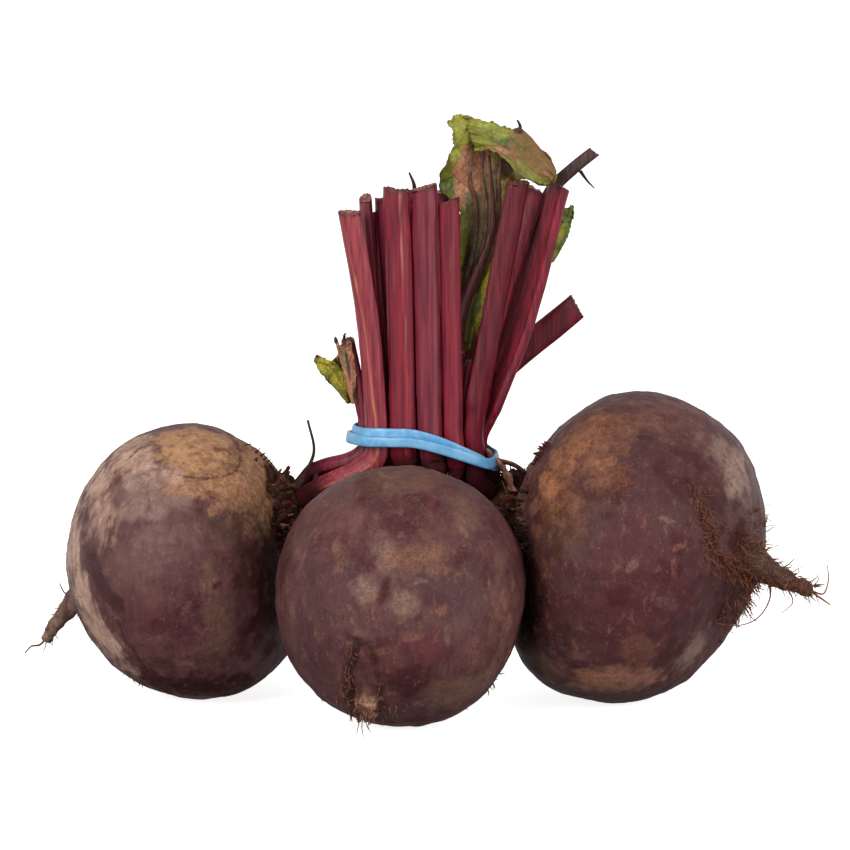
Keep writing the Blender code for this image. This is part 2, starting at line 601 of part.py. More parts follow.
def band_outline(cloud, steps):
    """Middle line of the band's closed double loop round the stalks' points."""
    turns = np.linspace(0.5 * np.pi, 4.5 * np.pi, 1441)[:-1]
    flat = np.stack((np.cos(turns), np.sin(turns)), axis=1)
    lift = band_lift(turns)
    middle = tie_height(cloud[:, 0])
    reach = np.empty(len(turns))
    for i, (way, up) in enumerate(zip(flat, lift)):
        near = np.abs(cloud[:, 2] - middle - up) < 0.5 * BAND["tall"] + 0.3
        reach[i] = (cloud[near][:, :2] @ way).max()
    blur = np.hanning(61) / np.hanning(61).sum()
    reach = np.convolve(np.concatenate((reach[-30:], reach, reach[:30])), blur, mode="valid")
    second = ease((turns - 4.5 * np.pi) / 0.9 + 0.5) * -1.0 + ease((turns - 2.5 * np.pi) / 0.9 + 0.5)
    second = second + 1.0 - ease((turns - 0.5 * np.pi) / 0.9 + 0.5)
    reach = reach + BAND["gap"] + 0.5 * BAND["thick"] + 0.25 + (BAND["thick"] + 0.35) * second
    slope = np.gradient(np.concatenate((reach[-2:], reach, reach[:2])), turns[1] - turns[0])[2:-2]
    across = np.stack((-flat[:, 1], flat[:, 0]), axis=1)
    line = reach[:, None] * flat + slope[:, None] * across
    run = np.linalg.norm(np.roll(line, -1, axis=0) - line, axis=1)
    total = np.concatenate(([0.0], np.cumsum(run)))
    at = np.linspace(0.0, total[-1], steps, endpoint=False)
    loop = np.append(turns, turns[0] + 4.0 * np.pi)
    turn = np.interp(at, total, loop)
    place = np.stack([np.interp(at, total, np.append(line[:, k], line[0, k])) for k in (0, 1)], axis=1)
    height = tie_height(place[:, 0]) + band_lift(turn)
    out = np.stack((np.cos(turn), np.sin(turn), np.zeros(steps)), axis=1)
    return np.column_stack((place, height)), out


def band_rings(line, out, sides):
    """Upright flat sections of the band."""
    turn = -2.0 * np.pi * (np.arange(sides) + 0.5) / sides
    wide = np.sign(np.cos(turn)) * np.abs(np.cos(turn)) ** 0.6 * 0.5 * BAND["thick"]
    tall = np.sin(turn) * 0.5 * BAND["tall"]
    rings = line[:, None] + wide[None, :, None] * out[:, None]
    rings[..., 2] += tall
    return rings


def make_band(parts, routes, frames):
    """The rubber band, wound twice round the stalks."""
    cloud = []
    for name, route in routes.items():
        tied = slice(1, STEPS_BELOW + STEPS_TIE + 2)
        rings = stalk_rings(route, frames[name], stalk_sizes(name), 20, tied)
        fine = np.linspace(0.0, len(rings) - 1.0, 8 * len(rings))
        at = np.arange(len(rings))
        cloud.append(np.stack([[np.interp(fine, at, rings[:, k, c]) for c in range(3)]
                               for k in range(20)]).transpose(0, 2, 1).reshape(-1, 3))
    line, out = band_outline(np.concatenate(cloud), BAND["steps"])
    points, faces = loft(band_rings(line, out, BAND["sides"]), closed=True)
    made = add_object("rubber_band", mesh_of("rubber_band", points, faces), parts)
    made.data.materials.append(material("rubber_blue", BAND_TONE, 0.4))


# Leaves


def leaf_points(leaf, size, seed, route):
    """A blade's grid of points: a smooth sheet with a rippled, notched edge."""
    rows = np.array(leaf["rows"])
    tied = STEPS_BELOW + STEPS_TIE
    for k in (0, 1):
        rows[..., k] += np.interp(rows[..., 2], route[tied:, 2], route[tied:, k])
    down = np.linspace(0.0, 1.0, size[0])
    over = np.linspace(0.0, 1.0, size[1])
    grid = np.stack([curve(np.linspace(0.0, 1.0, len(rows)), rows[:, k], down)
                     for k in range(rows.shape[1])], axis=1)
    grid = np.stack([curve(np.linspace(0.0, 1.0, rows.shape[1]), line, over) for line in grid])
    draw = np.random.default_rng(SEED + seed)
    edge = np.abs(2.0 * over - 1.0)[None, :] ** 2
    top = np.clip(3.0 * down - 2.0, 0.0, 1.0)[:, None] ** 2
    wave = np.sin(2.0 * np.pi * leaf["waves"] * down[:, None] + np.sign(over - 0.5)[None] * 1.3)
    fold = np.sin(2.0 * np.pi * 2.5 * over[None, :])
    grid[..., 1] += leaf["ripple"] * (wave * edge + 0.7 * fold * top)
    inward = unit(grid.mean(axis=1, keepdims=True) - grid)
    notch = leaf["jag"] * draw.uniform(0.0, 1.0, grid.shape[:2]) * (edge > 0.99)
    grid += notch[..., None] * inward
    grid[-1, :, 2] -= leaf["jag"] * draw.uniform(0.0, 1.0, size[1])
    return grid


def make_leaf(name, leaf, seed, route, parts):
    """A leaf remnant: a triangulated sheet given its thickness by Solidify."""
    grid = leaf_points(leaf, leaf["size"], seed, route)
    rows, columns, _ = grid.shape
    faces = []
    for i in range(rows - 1):
        for k in range(columns - 1):
            a, b = i * columns + k, (i + 1) * columns + k
            faces += [(a, a + 1, b + 1), (a, b + 1, b)]
    made = add_object(name, mesh_of(name, grid.reshape(-1, 3), faces), parts)
    sheet = made.modifiers.new("thickness", "SOLIDIFY")
    sheet.thickness = leaf["thick"] * MM
    sheet.offset = 0.0
    made.data.materials.append(material(name, LEAF_TONES[name], 0.55))


def main():
    for old in list(bpy.data.objects):
        bpy.data.objects.remove(old)
    parts = bpy.data.collections.new("beetroot_bunch")
    bpy.context.scene.collection.children.link(parts)
    seats = seat_directions()
    for key in ROOTS:
        aims = np.array([aim for name, (_, aim) in seats.items() if STALKS[name][0] == key])
        make_root(key, aims, parts)
    routes, frames = make_stalks(seats, parts)
    make_band(parts, routes, frames)
    for seed, (name, leaf) in enumerate(LEAVES.items()):
        make_leaf(name, leaf, seed, routes[leaf["stalk"]], parts)


main()
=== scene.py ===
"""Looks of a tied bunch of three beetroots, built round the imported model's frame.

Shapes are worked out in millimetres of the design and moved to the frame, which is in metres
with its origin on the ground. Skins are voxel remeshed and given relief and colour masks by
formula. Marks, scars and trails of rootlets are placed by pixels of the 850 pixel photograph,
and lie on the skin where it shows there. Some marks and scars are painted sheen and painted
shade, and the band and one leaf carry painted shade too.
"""
import itertools
import math

import bpy
import numpy as np
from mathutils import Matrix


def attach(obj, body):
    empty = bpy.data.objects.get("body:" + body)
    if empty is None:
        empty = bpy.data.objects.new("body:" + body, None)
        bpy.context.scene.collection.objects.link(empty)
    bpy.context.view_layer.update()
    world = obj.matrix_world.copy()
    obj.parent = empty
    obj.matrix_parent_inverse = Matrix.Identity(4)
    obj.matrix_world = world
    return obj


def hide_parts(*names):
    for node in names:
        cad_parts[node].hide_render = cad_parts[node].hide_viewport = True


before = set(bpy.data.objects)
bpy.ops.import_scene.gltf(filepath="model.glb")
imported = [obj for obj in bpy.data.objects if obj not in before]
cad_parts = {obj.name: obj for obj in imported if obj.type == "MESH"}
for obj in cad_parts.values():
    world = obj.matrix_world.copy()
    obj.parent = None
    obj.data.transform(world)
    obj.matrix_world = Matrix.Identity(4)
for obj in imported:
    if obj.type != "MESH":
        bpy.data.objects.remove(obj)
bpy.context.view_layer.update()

MM = 0.001
SEED = 11
# Where the frame's origin is in the design.
ORIGIN = np.array((-1.52, -9.46, 0.0))
# The random field: a factor for each axis and for the seed, one that mixes, and a word's bits.
HASH_STEPS = (73856093, 19349663, 83492791, 40503)
HASH_MIX = 73244475
WORD = 0xFFFFFFFF

# A root: its crown's radius, how full its shoulder is, how wide its flat is in radians, and the
# rings and sides of its globe. Its tail: the steps along it, how far in towards the globe's middle
# its flare starts, and its first radius there. Its skin: the remesh's voxel and its smoothing.
CROWN_RADIUS = 11.5
SHOULDER_POWER = 2.35
FLAT_WIDTH = 0.55
GLOBE_GRID = (72, 120)
TAIL_STEPS = 60
FLARE_START = 0.30
FLARE_WIDTH = 1.9
VOXEL = 0.75
SMOOTHING = dict(factor=0.5, iterations=6)
# A stalk's foot: its gap over the crown, the cosine of the furthest that it stands from the
# crown's middle, its distance from the globe as a factor, and the rounds that spread the feet.
GAP = 0.4
CAP_COSINE = 0.6
SEAT_MARGIN = 1.045
SEAT_ROUNDS = 300

# The camera: what it looks at, how far off, how high, and its focal length in pixels.
VIEW = dict(target=(0.0, 0.0, 78.0), distance=950.0, elevation=7.5, focal=3392.9)
PHOTO_SIZE = 850
SENSOR = 36.0
# Millimetres of the design to a pixel of the photograph.
PIXEL = 0.28
# Added in pixels to the distance of points that face away, so that none of them is nearest, and
# the cosine to the camera's view below which a point is seen, for its shape and for its marks.
HIDDEN = 1e4
SEEN_SHAPE = 0.1
SEEN_MARK = -0.12

# Each root's globe: its radius across, its reach towards the crown and the tail, its middle, its
# axis, its crown, its swellings (amount and phase) and its flat (direction and depth). Its tail:
# points with radii, and the share of its first radius, last radius and length that the skin
# keeps. Last, its textures' seed, how far from the tail its skin is dry, and how far up its
# stalks are dark.
ROOTS = {
    "left": dict(
        across=39.2, along=(31.5, 35.0), middle=(-65.8, 7.5, 38.3), axis=(0.96, -0.18, 0.20),
        crown=(-32.4, 3.2, 56.8), swell=(0.010, 0.4), flat=((0.85, -0.53, 0.0), 1.8),
        tail=((-91.0, 14.6, 30.5, 5.0), (-99.0, 16.2, 26.6, 3.4), (-104.4, 15.2, 20.2, 2.3),
              (-108.9, 14.0, 14.0, 1.4)),
        slim=(0.95, 1.2, 1.0), seed=0, dry=5.0, foot=17.0),
    "front": dict(
        across=34.5, along=(35.0, 35.4), middle=(-6.5, -30.0, 34.6), axis=(0.24, 0.68, 0.69),
        crown=(3.3, -1.8, 60.8), swell=(0.008, 2.1), flat=((0.82, 0.57, 0.1), 2.6),
        tail=((-11.5, -47.0, 16.0, 5.4), (-15.2, -54.0, 9.4, 3.4), (-18.2, -56.2, 5.8, 2.3),
              (-20.0, -57.0, 3.6, 1.5)),
        slim=(0.8, 1.1, 0.78), seed=40, dry=5.5, foot=14.0),
    "right": dict(
        across=43.8, along=(33.4, 37.4), middle=(57.2, -0.5, 43.3), axis=(-0.93, 0.33, 0.22),
        crown=(15.0, 8.6, 54.8), swell=(0.008, 4.4), flat=((-0.91, -0.40, -0.1), 3.8),
        tail=((79.0, -11.4, 43.6, 12.0), (90.6, -16.8, 41.6, 6.6), (98.6, -20.6, 38.6, 3.4),
              (107.1, -24.0, 34.9, 1.7)),
        slim=(0.78, 0.9, 1.0), seed=80, dry=9.5, foot=26.0),
}

# Every cut stalk: its root, where it passes the tie (x, y), where it is cut (x, y, z), its
# width, its thickness, their share left at the cut end, and its colour.
STALKS = {
    "stalk_left_1": ("left", (-13.3, -7.2), (-20.7, -8.5, 138.2), 6.6, 5.2, 1.0, "rose"),
    "stalk_left_2": ("left", (-16.4, -1.4), (-20.9, -1.4, 101.9), 5.8, 4.8, 1.0, "plum"),
    "stalk_left_3": ("left", (-11.3, -1.6), (-15.8, -1.0, 141.6), 6.2, 4.6, 1.0, "plum"),
    "stalk_left_4": ("left", (-12.8, 4.4), (-16.8, 7.5, 137.0), 6.0, 4.6, 1.0, "plum"),
    "stalk_left_5": ("left", (-7.4, 5.0), (-9.8, 8.5, 140.5), 5.8, 4.6, 1.0, "crimson"),
    "stalk_front_1": ("front", (-5.8, -8.4), (-6.9, -9.5, 144.4), 7.4, 5.4, 1.0, "crimson"),
    "stalk_front_2": ("front", (1.4, -8.9), (-1.1, -9.8, 145.0), 6.6, 5.0, 1.0, "plum"),
    "stalk_front_3": ("front", (7.8, -8.0), (6.6, -9.2, 141.2), 5.4, 4.8, 1.0, "crimson"),
    "stalk_front_4": ("front", (-5.0, -2.4), (-11.0, -1.0, 141.4), 5.6, 4.4, 1.0, "plum"),
    "stalk_front_5": ("front", (0.2, -2.8), (3.4, 1.8, 143.0), 5.6, 4.4, 1.0, "plum"),
    "stalk_front_6": ("front", (-1.4, 4.8), (-2.6, 9.0, 143.0), 5.8, 4.6, 1.0, "crimson"),
    "stalk_right_1": ("right", (12.2, -5.2), (25.6, -6.0, 146.2), 6.2, 5.0, 1.0, "wine"),
    "stalk_right_2": ("right", (13.4, 0.6), (37.0, 0.0, 145.0), 6.6, 5.2, 1.0, "crimson"),
    "stalk_right_3": ("right", (8.4, 4.0), (29.6, 6.5, 144.0), 5.6, 4.4, 1.0, "crimson"),
    "stalk_right_4": ("right", (4.4, 9.4), (42.9, 12.0, 110.2), 7.4, 5.0, 1.0, "wine"),
    "stalk_broken": ("right", (9.4, -1.6), (12.6, -2.6, 96.5), 4.6, 3.8, 1.0, "crimson"),
    "stalk_withered": ("right", (10.4, 7.8), (47.2, 8.5, 153.8), 4.2, 3.4, 0.75, "withered"),
    "stalk_leafy": ("front", (5.0, -2.8), (17.8, 0.6, 153.0), 4.4, 3.8, 0.6, "rib"),
}
# Points that a stalk passes between the tie and its cut.
BENDS = {
    "stalk_left_1": ((-15.7, -8.0, 107.5),),
    "stalk_leafy": ((10.4, -0.8, 110.7), (18.6, 0.6, 132.9)),
    "stalk_withered": ((28.6, 7.6, 122.0), (36.4, 8.0, 144.5)),
    "stalk_right_2": ((20.3, 0.6, 88.4), (25.6, 0.5, 101.8)),
    "stalk_right_4": ((12.0, 11.0, 81.0), (18.6, 12.0, 89.0)),
    "stalk_front_4": ((-7.6, -1.8, 105.0),),
}
# The tie: the bunch's middle and half sizes there, its height at the left, half the height over
# which stalks are upright, and how it falls towards the right.
TIE = dict(centre=(-0.8, -1.4), half=(20.0, 10.0), height=76.0, zone=4.6)
TIE_DROP = dict(start=-5.0, run=24.0, depth=8.6, power=1.5)
# Stations along a stalk, and how stalks are pushed apart: rounds, gap, the furthest along a
# stalk that a neighbour's station counts, and the most and the share of a push in one round.
STEPS_BELOW, STEPS_TIE, STEPS_ABOVE = 12, 4, 12
SPREAD = dict(rounds=90, gap=0.5, reach=4.0, most=1.5, share=0.35)
# The band: its height, its thickness and its gap to the stalks, the steps along it and the sides
# of its section, and the places round its double loop where the stalks under it are measured,
# with how many of them on each side are averaged.
BAND = dict(tall=3.3, thick=1.1, gap=0.35, steps=480, sides=20, places=1440, blur=30)

# Rows of points across each leaf remnant, from its foot to its tip: how far it is from its stalk
# (x, y) and its height.
LEAF_MAIN_ROWS = (
    ((0.4, 3.2, 98.0), (1.4, 3.3, 98.2), (2.6, 3.3, 98.4), (4.2, 3.0, 99.0), (5.6, 2.4, 99.4)),
    ((-2.4, 1.7, 106.5), (0.0, 3.1, 106.8), (1.2, 3.1, 107.0), (3.8, 2.3, 107.6), (6.6, 0.6, 108.0)),
    ((-4.8, 0.6, 116.0), (-2.0, 3.0, 116.0), (0.4, 3.2, 116.5), (3.4, 2.2, 117.0), (6.8, -0.2, 117.5)),
    ((-8.6, -1.4, 127.0), (-4.4, 2.6, 127.0), (0.0, 3.2, 127.5), (3.0, 2.2, 128.0), (5.6, -0.2, 128.5)),
    ((-9.8, -2.6, 138.0), (-5.6, 1.4, 138.0), (0.0, 3.1, 138.0), (3.0, 2.2, 138.5), (4.6, 0.2, 139.0)),
    ((-14.8, -4.4, 144.8), (-7.6, 0.0, 146.2), (0.0, 3.0, 147.0), (4.8, 1.2, 147.4), (9.4, -2.6, 147.0)),
    ((-12.2, -4.8, 152.4), (-6.4, -1.2, 152.5), (0.2, 2.6, 153.8), (7.8, -2.4, 151.6),
     (16.0, -6.6, 144.8)),
    ((-10.2, -4.4, 158.0), (-6.4, -3.8, 158.4), (-0.4, -1.4, 159.5), (6.8, -3.2, 157.6),
     (18.4, -6.8, 149.8)),
    ((-12.0, -3.8, 163.8), (-7.8, -3.8, 165.6), (-2.6, -3.0, 163.8), (5.6, -3.8, 161.6),
     (13.2, -5.6, 157.2)),
)
LEAF_LEFT_ROWS = (
    ((-4.2, -1.4, 84.5), (-3.0, -0.2, 84.5), (-1.6, 1.0, 84.6)),
    ((-8.0, -2.6, 89.5), (-5.4, -0.6, 90.2), (-1.8, 1.0, 91.0)),
    ((-11.0, -3.2, 95.0), (-7.4, -0.8, 95.6), (-1.6, 1.0, 96.6)),
    ((-11.2, -3.0, 96.8), (-6.0, -1.2, 96.2), (-1.2, 0.8, 101.4)),
    ((-10.6, -2.8, 98.4), (-5.0, -1.2, 96.9), (-1.4, 0.6, 104.6)),
)
LEAF_RIGHT_ROWS = (
    ((1.6, 0.8, 123.5), (2.7, 1.3, 123.5), (3.8, 2.0, 123.5)),
    ((1.7, 0.8, 129.0), (4.2, 1.6, 129.2), (6.2, 2.6, 129.5)),
    ((1.8, 0.8, 134.0), (4.4, 1.6, 134.4), (6.6, 2.8, 134.6)),
    ((2.0, 0.8, 138.4), (4.2, 1.6, 139.0), (5.8, 2.6, 139.6)),
)
# A brown rag of leaf in front of the short left stalk, in the design's own coordinates.
LEAF_RAG_ROWS = (
    ((-20.6, -3.8, 84.4), (-19.6, -4.2, 84.6), (-18.6, -3.9, 84.8)),
    ((-22.2, -3.8, 91.0), (-20.6, -4.6, 91.2), (-19.0, -4.2, 91.4)),
    ((-23.9, -3.4, 97.0), (-21.8, -4.6, 97.2), (-19.5, -4.2, 97.4)),
    ((-25.4, -3.2, 103.2), (-23.0, -4.4, 101.2), (-20.4, -4.2, 103.4)),
)
# The fold of the main leaf that hangs forward from its crest, in the design's own coordinates.
LEAF_FLAP_ROWS = (
    ((10.4, -3.7, 164.4), (17.2, -4.6, 162.8), (23.0, -6.0, 160.8), (27.4, -6.4, 160.4),
     (36.4, -7.0, 149.2)),
    ((11.6, -4.2, 159.8), (18.0, -6.0, 158.4), (24.2, -8.2, 155.0), (29.0, -8.6, 152.6),
     (35.6, -8.6, 147.2)),
    ((13.8, -4.2, 155.4), (19.6, -6.6, 155.0), (25.4, -8.8, 149.6), (30.4, -9.2, 146.8),
     (34.2, -8.4, 145.8)),
)
# Each leaf: its stalk, its grid along and across, the depth and number of its ripples, the depth
# of its torn edge and its pairs of side veins.
LEAVES = {
    "leaf_flap": dict(stalk=None, rows=LEAF_FLAP_ROWS, size=(70, 120), ripple=0.5, waves=2.5,
                      jag=0.8, veins=3),
    "leaf_rag": dict(stalk=None, rows=LEAF_RAG_ROWS, size=(80, 50), ripple=0.4, waves=2.0,
                     jag=1.2, veins=3),
    "leaf_main": dict(stalk="stalk_leafy", rows=LEAF_MAIN_ROWS, size=(220, 130), ripple=1.0,
                      waves=5.5, jag=1.2, veins=7),
    "leaf_left": dict(stalk="stalk_left_2", rows=LEAF_LEFT_ROWS, size=(90, 56), ripple=0.7,
                      waves=2.5, jag=1.2, veins=4),
    "leaf_right": dict(stalk="stalk_right_2", rows=LEAF_RIGHT_ROWS, size=(80, 30), ripple=0.5,
                       waves=2.0, jag=0.5, veins=5),
}

# Layers of colour on the skins, from the first painted to the last: mask, two sRGB colours that
# are mottled together, and how much of the layer shows. The first row is the ground. The grey
# bloom layer is also painted sheen, the scar layer also paints crease shade, the deep layer is dark
# skin and painted shade, and the last, darkest layer is painted shade where the roots meet and,
# round the crowns, dark crown skin with painted shade.
SKINS = {
    "left": (
        ("ground", (98, 62, 60), (78, 42, 46), 1.0), ("mauve", (110, 75, 72), (94, 60, 61), 0.85),
        ("rim", (204, 168, 150), (180, 144, 126), 0.95), ("bloom_and_sheen", (152, 124, 114), (126, 98, 94), 0.75),
        ("olive", (78, 50, 34), (52, 32, 24), 0.95), ("tan", (190, 146, 104), (166, 124, 88), 0.92),
        ("gold", (192, 146, 104), (138, 96, 68), 0.92), ("smear", (124, 90, 72), (88, 56, 48), 0.8),
        ("red", (92, 36, 48), (76, 32, 42), 0.75), ("deep", (56, 28, 28), (38, 24, 20), 0.85),
        ("scar_and_shade", (74, 32, 34), (56, 26, 28), 0.85), ("tail", (146, 120, 106), (100, 76, 66), 0.95),
        ("painted_shade", (34, 18, 16), (24, 13, 11), 0.9)),
    "front": (
        ("ground", (94, 57, 57), (75, 42, 46), 1.0), ("mauve", (84, 46, 50), (72, 39, 45), 0.8),
        ("olive", (122, 92, 74), (94, 66, 56), 0.85), ("rim", (136, 90, 78), (90, 52, 52), 0.8),
        ("pink", (132, 88, 84), (104, 66, 66), 0.75), ("bloom_and_sheen", (150, 120, 104), (104, 72, 66), 0.85),
        ("red", (104, 40, 48), (84, 34, 42), 0.65), ("deep", (68, 30, 38), (56, 30, 36), 0.8),
        ("gold", (158, 114, 82), (96, 60, 52), 0.9), ("tan", (158, 120, 92), (118, 80, 66), 0.8),
        ("scar_and_shade", (58, 32, 26), (40, 24, 20), 0.85), ("tail", (170, 130, 98), (92, 60, 48), 0.95),
        ("painted_shade", (44, 20, 20), (30, 15, 13), 0.6)),
    "right": (
        ("ground", (84, 48, 48), (70, 37, 41), 1.0), ("red", (88, 38, 45), (72, 31, 39), 0.8),
        ("rim", (122, 80, 70), (92, 56, 54), 0.8), ("olive", (104, 72, 52), (70, 46, 38), 0.85),
        ("gold", (158, 106, 74), (104, 66, 50), 0.85), ("tan", (196, 134, 92), (140, 90, 62), 0.85),
        ("bloom_and_sheen", (172, 142, 128), (126, 98, 90), 0.8), ("smear", (176, 122, 98), (132, 88, 72), 0.85),
        ("deep", (56, 32, 28), (42, 26, 22), 0.85), ("scar_and_shade", (70, 34, 28), (46, 26, 24), 0.85),
        ("tail", (100, 72, 58), (46, 30, 26), 0.95),
        ("painted_shade", (30, 15, 11), (20, 10, 8), 0.9)),
}
# Marks on the skins, by root and layer: pixel of the photograph (across, down), half sizes in
# pixels (across, down), tilt in degrees anticlockwise, and strength.
MARKS = {
    "left": {
        # Broad greyish mauve on the left root's middle, partly painted sheen.
        "mauve": ((138, 560, 44, 52, 0, 1.0), (178, 520, 32, 26, 0, 1.0), (108, 532, 30, 42, 0, 1.0)),
        "rim": ((71, 535, 18, 62, 4, 1.2), (80, 588, 17, 36, 18, 1.15), (100, 634, 20, 36, 34, 1.15),
                (98, 480, 24, 32, -40, 1.0), (130, 452, 36, 22, 36, 1.2), (126, 668, 20, 12, -34, 0.8),
                (172, 478, 34, 16, 0, 0.8), (144, 472, 34, 18, 14, 1.0), (106, 512, 22, 38, -10, 0.75)),
        # Grey bloom and painted sheen on the left root's lit upper left.
        "bloom_and_sheen": ((142, 500, 30, 26, 20, 1.4), (122, 490, 16, 16, 40, 0.6), (160, 480, 22, 11, 10, 0.8),
                  (178, 496, 24, 15, 0, 1.0), (150, 536, 34, 18, 0, 0.5), (120, 560, 10, 22, 10, 0.3),
                  (185, 664, 10, 4, 10, 0.8), (150, 572, 14, 12, 0, 0.3)),
        "olive": ((236, 524, 46, 18, -8, 1.0), (196, 516, 26, 12, -6, 0.6), (266, 530, 18, 44, 0, 1.0),
                  (252, 566, 20, 28, 0, 0.8)),
        "tan": ((194, 450, 46, 24, -8, 1.5), (244, 462, 10, 14, 20, 0.7)),
        "gold": ((222, 482, 46, 20, -8, 1.0), (258, 484, 20, 24, -30, 1.0), (258, 460, 16, 17, -40, 1.0),
                 (186, 486, 28, 12, 0, 0.75), (272, 505, 10, 22, 0, 0.8), (232, 506, 30, 10, -6, 0.7)),
        "smear": ((208, 577, 9, 20, 6, 1.0), (216, 612, 12, 20, 10, 0.9), (224, 638, 15, 18, 20, 0.8),
                  (244, 664, 16, 3, 8, 0.7), (250, 674, 16, 4, 14, 0.8), (170, 662, 22, 8, -8, 0.3),
                  (190, 608, 8, 4, 0, 0.5)),
        "red": ((160, 624, 28, 17, -14, 0.9), (186, 636, 16, 24, 10, 0.8), (188, 562, 12, 16, 0, 0.4),
                (250, 625, 16, 24, 0, 0.6), (134, 640, 14, 18, 20, 0.4)),
        # Mostly painted shade: along the bottom, by the crown and where the root meets the front root.
        "deep": ((262, 606, 16, 40, -8, 0.8), (272, 556, 14, 34, 0, 0.9), (214, 586, 5, 3.5, 0, 1.0),
                 (200, 686, 70, 18, 0, 1.1), (240, 644, 12, 20, 0, 0.6), (160, 676, 28, 12, -12, 0.6),
                 (205, 660, 30, 12, 0, 0.4), (250, 545, 12, 16, 0, 0.5),
                 (268, 650, 12, 14, 0, 0.5)),
    },
    "front": {
        "mauve": ((318, 636, 28, 58, -12, 1.0), (352, 640, 18, 40, 0, 0.5), (480, 585, 20, 30, 0, 0.5),
                  (446, 592, 36, 26, 0, 2.2)),
        "olive": ((400, 479, 56, 15, 0, 1.0), (464, 512, 24, 26, -42, 0.8), (340, 500, 18, 10, 40, 0.7),
                  (458, 692, 46, 20, 15, 1.2), (300, 540, 10, 26, -30, 0.5), (500, 560, 9, 24, -20, 0.5)),
        "rim": ((502, 618, 17, 54, 4, 1.0), (476, 650, 18, 34, 6, 0.7), (292, 606, 8, 36, 0, 0.6),
                (488, 684, 14, 20, 40, 0.6), (440, 470, 20, 8, -16, 0.3)),
        "pink": ((346, 518, 27, 13, 22, 1.0), (332, 596, 12, 30, 0, 0.4), (392, 506, 26, 12, 0, 0.4),
                 (300, 560, 10, 24, -14, 0.5), (452, 548, 20, 12, 0, 0.4)),
        "bloom_and_sheen": ((385, 552, 16, 22, 8, 1.0), (364, 592, 15, 18, -38, 1.2), (404, 602, 16, 14, 0, 1.0),
                  (392, 578, 12, 5, 0, 0.5), (418, 584, 8, 3, 0, 0.9), (352, 628, 10, 7, 0, 0.5),
                  (413, 635, 13, 9, 0, 0.6), (368, 690, 14, 22, 0, 0.4)),
        "red": ((434, 504, 5, 12, 24, 0.9), (452, 522, 5, 10, 0, 0.6), (420, 644, 28, 20, 0, 1.1),
                (440, 654, 18, 14, 0, 1.2), (334, 596, 5, 16, 0, 0.5), (362, 615, 10, 6, 0, 0.4)),
        # Dark skin and painted shade, most of it low on the root.
        "deep": ((410, 682, 24, 22, 10, 1.0), (384, 592, 8, 14, -22, 0.6), (363, 562, 8, 20, -6, 0.45),
                 (398, 526, 22, 6, 0, 0.4), (430, 600, 22, 10, 0, 0.35), (418, 616, 6, 4, 0, 0.5),
                 (384, 646, 20, 10, 0, 0.5), (380, 670, 10, 28, 0, 0.4)),
        "gold": ((424, 555, 32, 17, -4, 0.75), (394, 560, 18, 12, 0, 0.7), (438, 572, 20, 7, -8, 0.7),
                 (437, 610, 12, 6, 0, 0.7), (340, 560, 8, 20, -6, 0.5), (458, 578, 6, 4, 0, 0.5)),
        "tan": ((338, 547, 6, 12, -8, 0.62), (449, 636, 5, 12, -18, 0.62), (387, 475, 13, 2, 0, 0.8),
                (366, 698, 8, 18, 6, 1.2), (352, 690, 3, 24, 3, 0.7), (358, 632, 9, 5, 0, 0.55),
                (404, 600, 6, 6, 0, 0.5), (415, 636, 12, 6, 10, 0.5), (380, 652, 12, 5, 0, 0.5),
                (292, 612, 3, 9, 0, 0.5), (366, 596, 6, 8, -30, 0.55), (384, 556, 8, 10, 0, 0.5),
                (505, 600, 4, 18, 4, 0.5)),
    },
    "right": {
        "red": ((645, 580, 70, 84, 0, 1.3), (700, 560, 26, 30, 0, 0.7), (618, 652, 18, 22, 0, 0.6)),
        "rim": ((666, 412, 62, 20, -8, 1.0), (705, 440, 30, 22, -35, 0.9), (742, 510, 14, 24, -10, 0.4),
                (645, 655, 34, 30, 0, 0.5), (600, 560, 30, 20, 0, 0.4)),
        "olive": ((562, 532, 34, 26, 12, 1.0), (602, 500, 24, 24, 0, 0.6), (550, 668, 26, 14, -30, 0.7),
                  (536, 560, 12, 24, 10, 0.8), (600, 690, 40, 8, 0, 0.5)),
        "gold": ((588, 442, 38, 34, 35, 1.0), (556, 496, 24, 34, 20, 0.9), (618, 426, 26, 20, 10, 0.7),
                 (606, 478, 26, 16, 20, 0.7), (616, 683, 30, 10, 0, 0.3), (575, 520, 20, 18, 0, 0.5)),
        "tan": ((548, 482, 14, 20, 30, 0.9), (534, 508, 9, 12, 20, 0.6), (577, 446, 16, 10, 35, 0.5),
                (606, 462, 12, 6, 20, 0.5), (556, 456, 10, 14, 30, 0.6), (600, 416, 16, 8, 30, 0.5),
                (564, 466, 12, 8, 30, 0.7), (678, 549, 9, 4, 25, 0.6), (671, 564, 4, 8, -15, 0.5),
                (536, 530, 6, 10, 10, 0.5)),
        # Grey bloom and painted sheen on the right root's lit right side and lower right edge.
        "bloom_and_sheen": ((737, 472, 17, 27, -18, 1.7), (720, 450, 14, 20, -30, 0.9), (632, 562, 5, 10, -15, 0.5),
                  (664, 521, 14, 2, -5, 0.7), (690, 652, 13, 32, -34, 0.9), (662, 440, 8, 8, 0, 0.3),
                  (745, 500, 7, 14, 0, 0.4), (700, 436, 5, 12, -30, 0.5)),
        "smear": ((616, 680, 54, 18, 0, 1.3), (640, 650, 18, 34, 0, 0.4), (560, 668, 22, 12, -30, 0.6)),
        # Mostly painted shade: where the root meets the front root, under the ring of rootlets and low on
        # the root.
        "deep": ((528, 600, 14, 50, 4, 0.9), (533, 566, 10, 22, 12, 0.7), (738, 540, 12, 20, -10, 0.8),
                 (716, 540, 8, 22, -20, 0.5), (556, 640, 26, 22, 0, 0.35), (704, 486, 10, 18, -16, 0.3),
                 (725, 590, 12, 14, 0, 0.5), (572, 676, 26, 6, -20, 0.4)),
    },
}
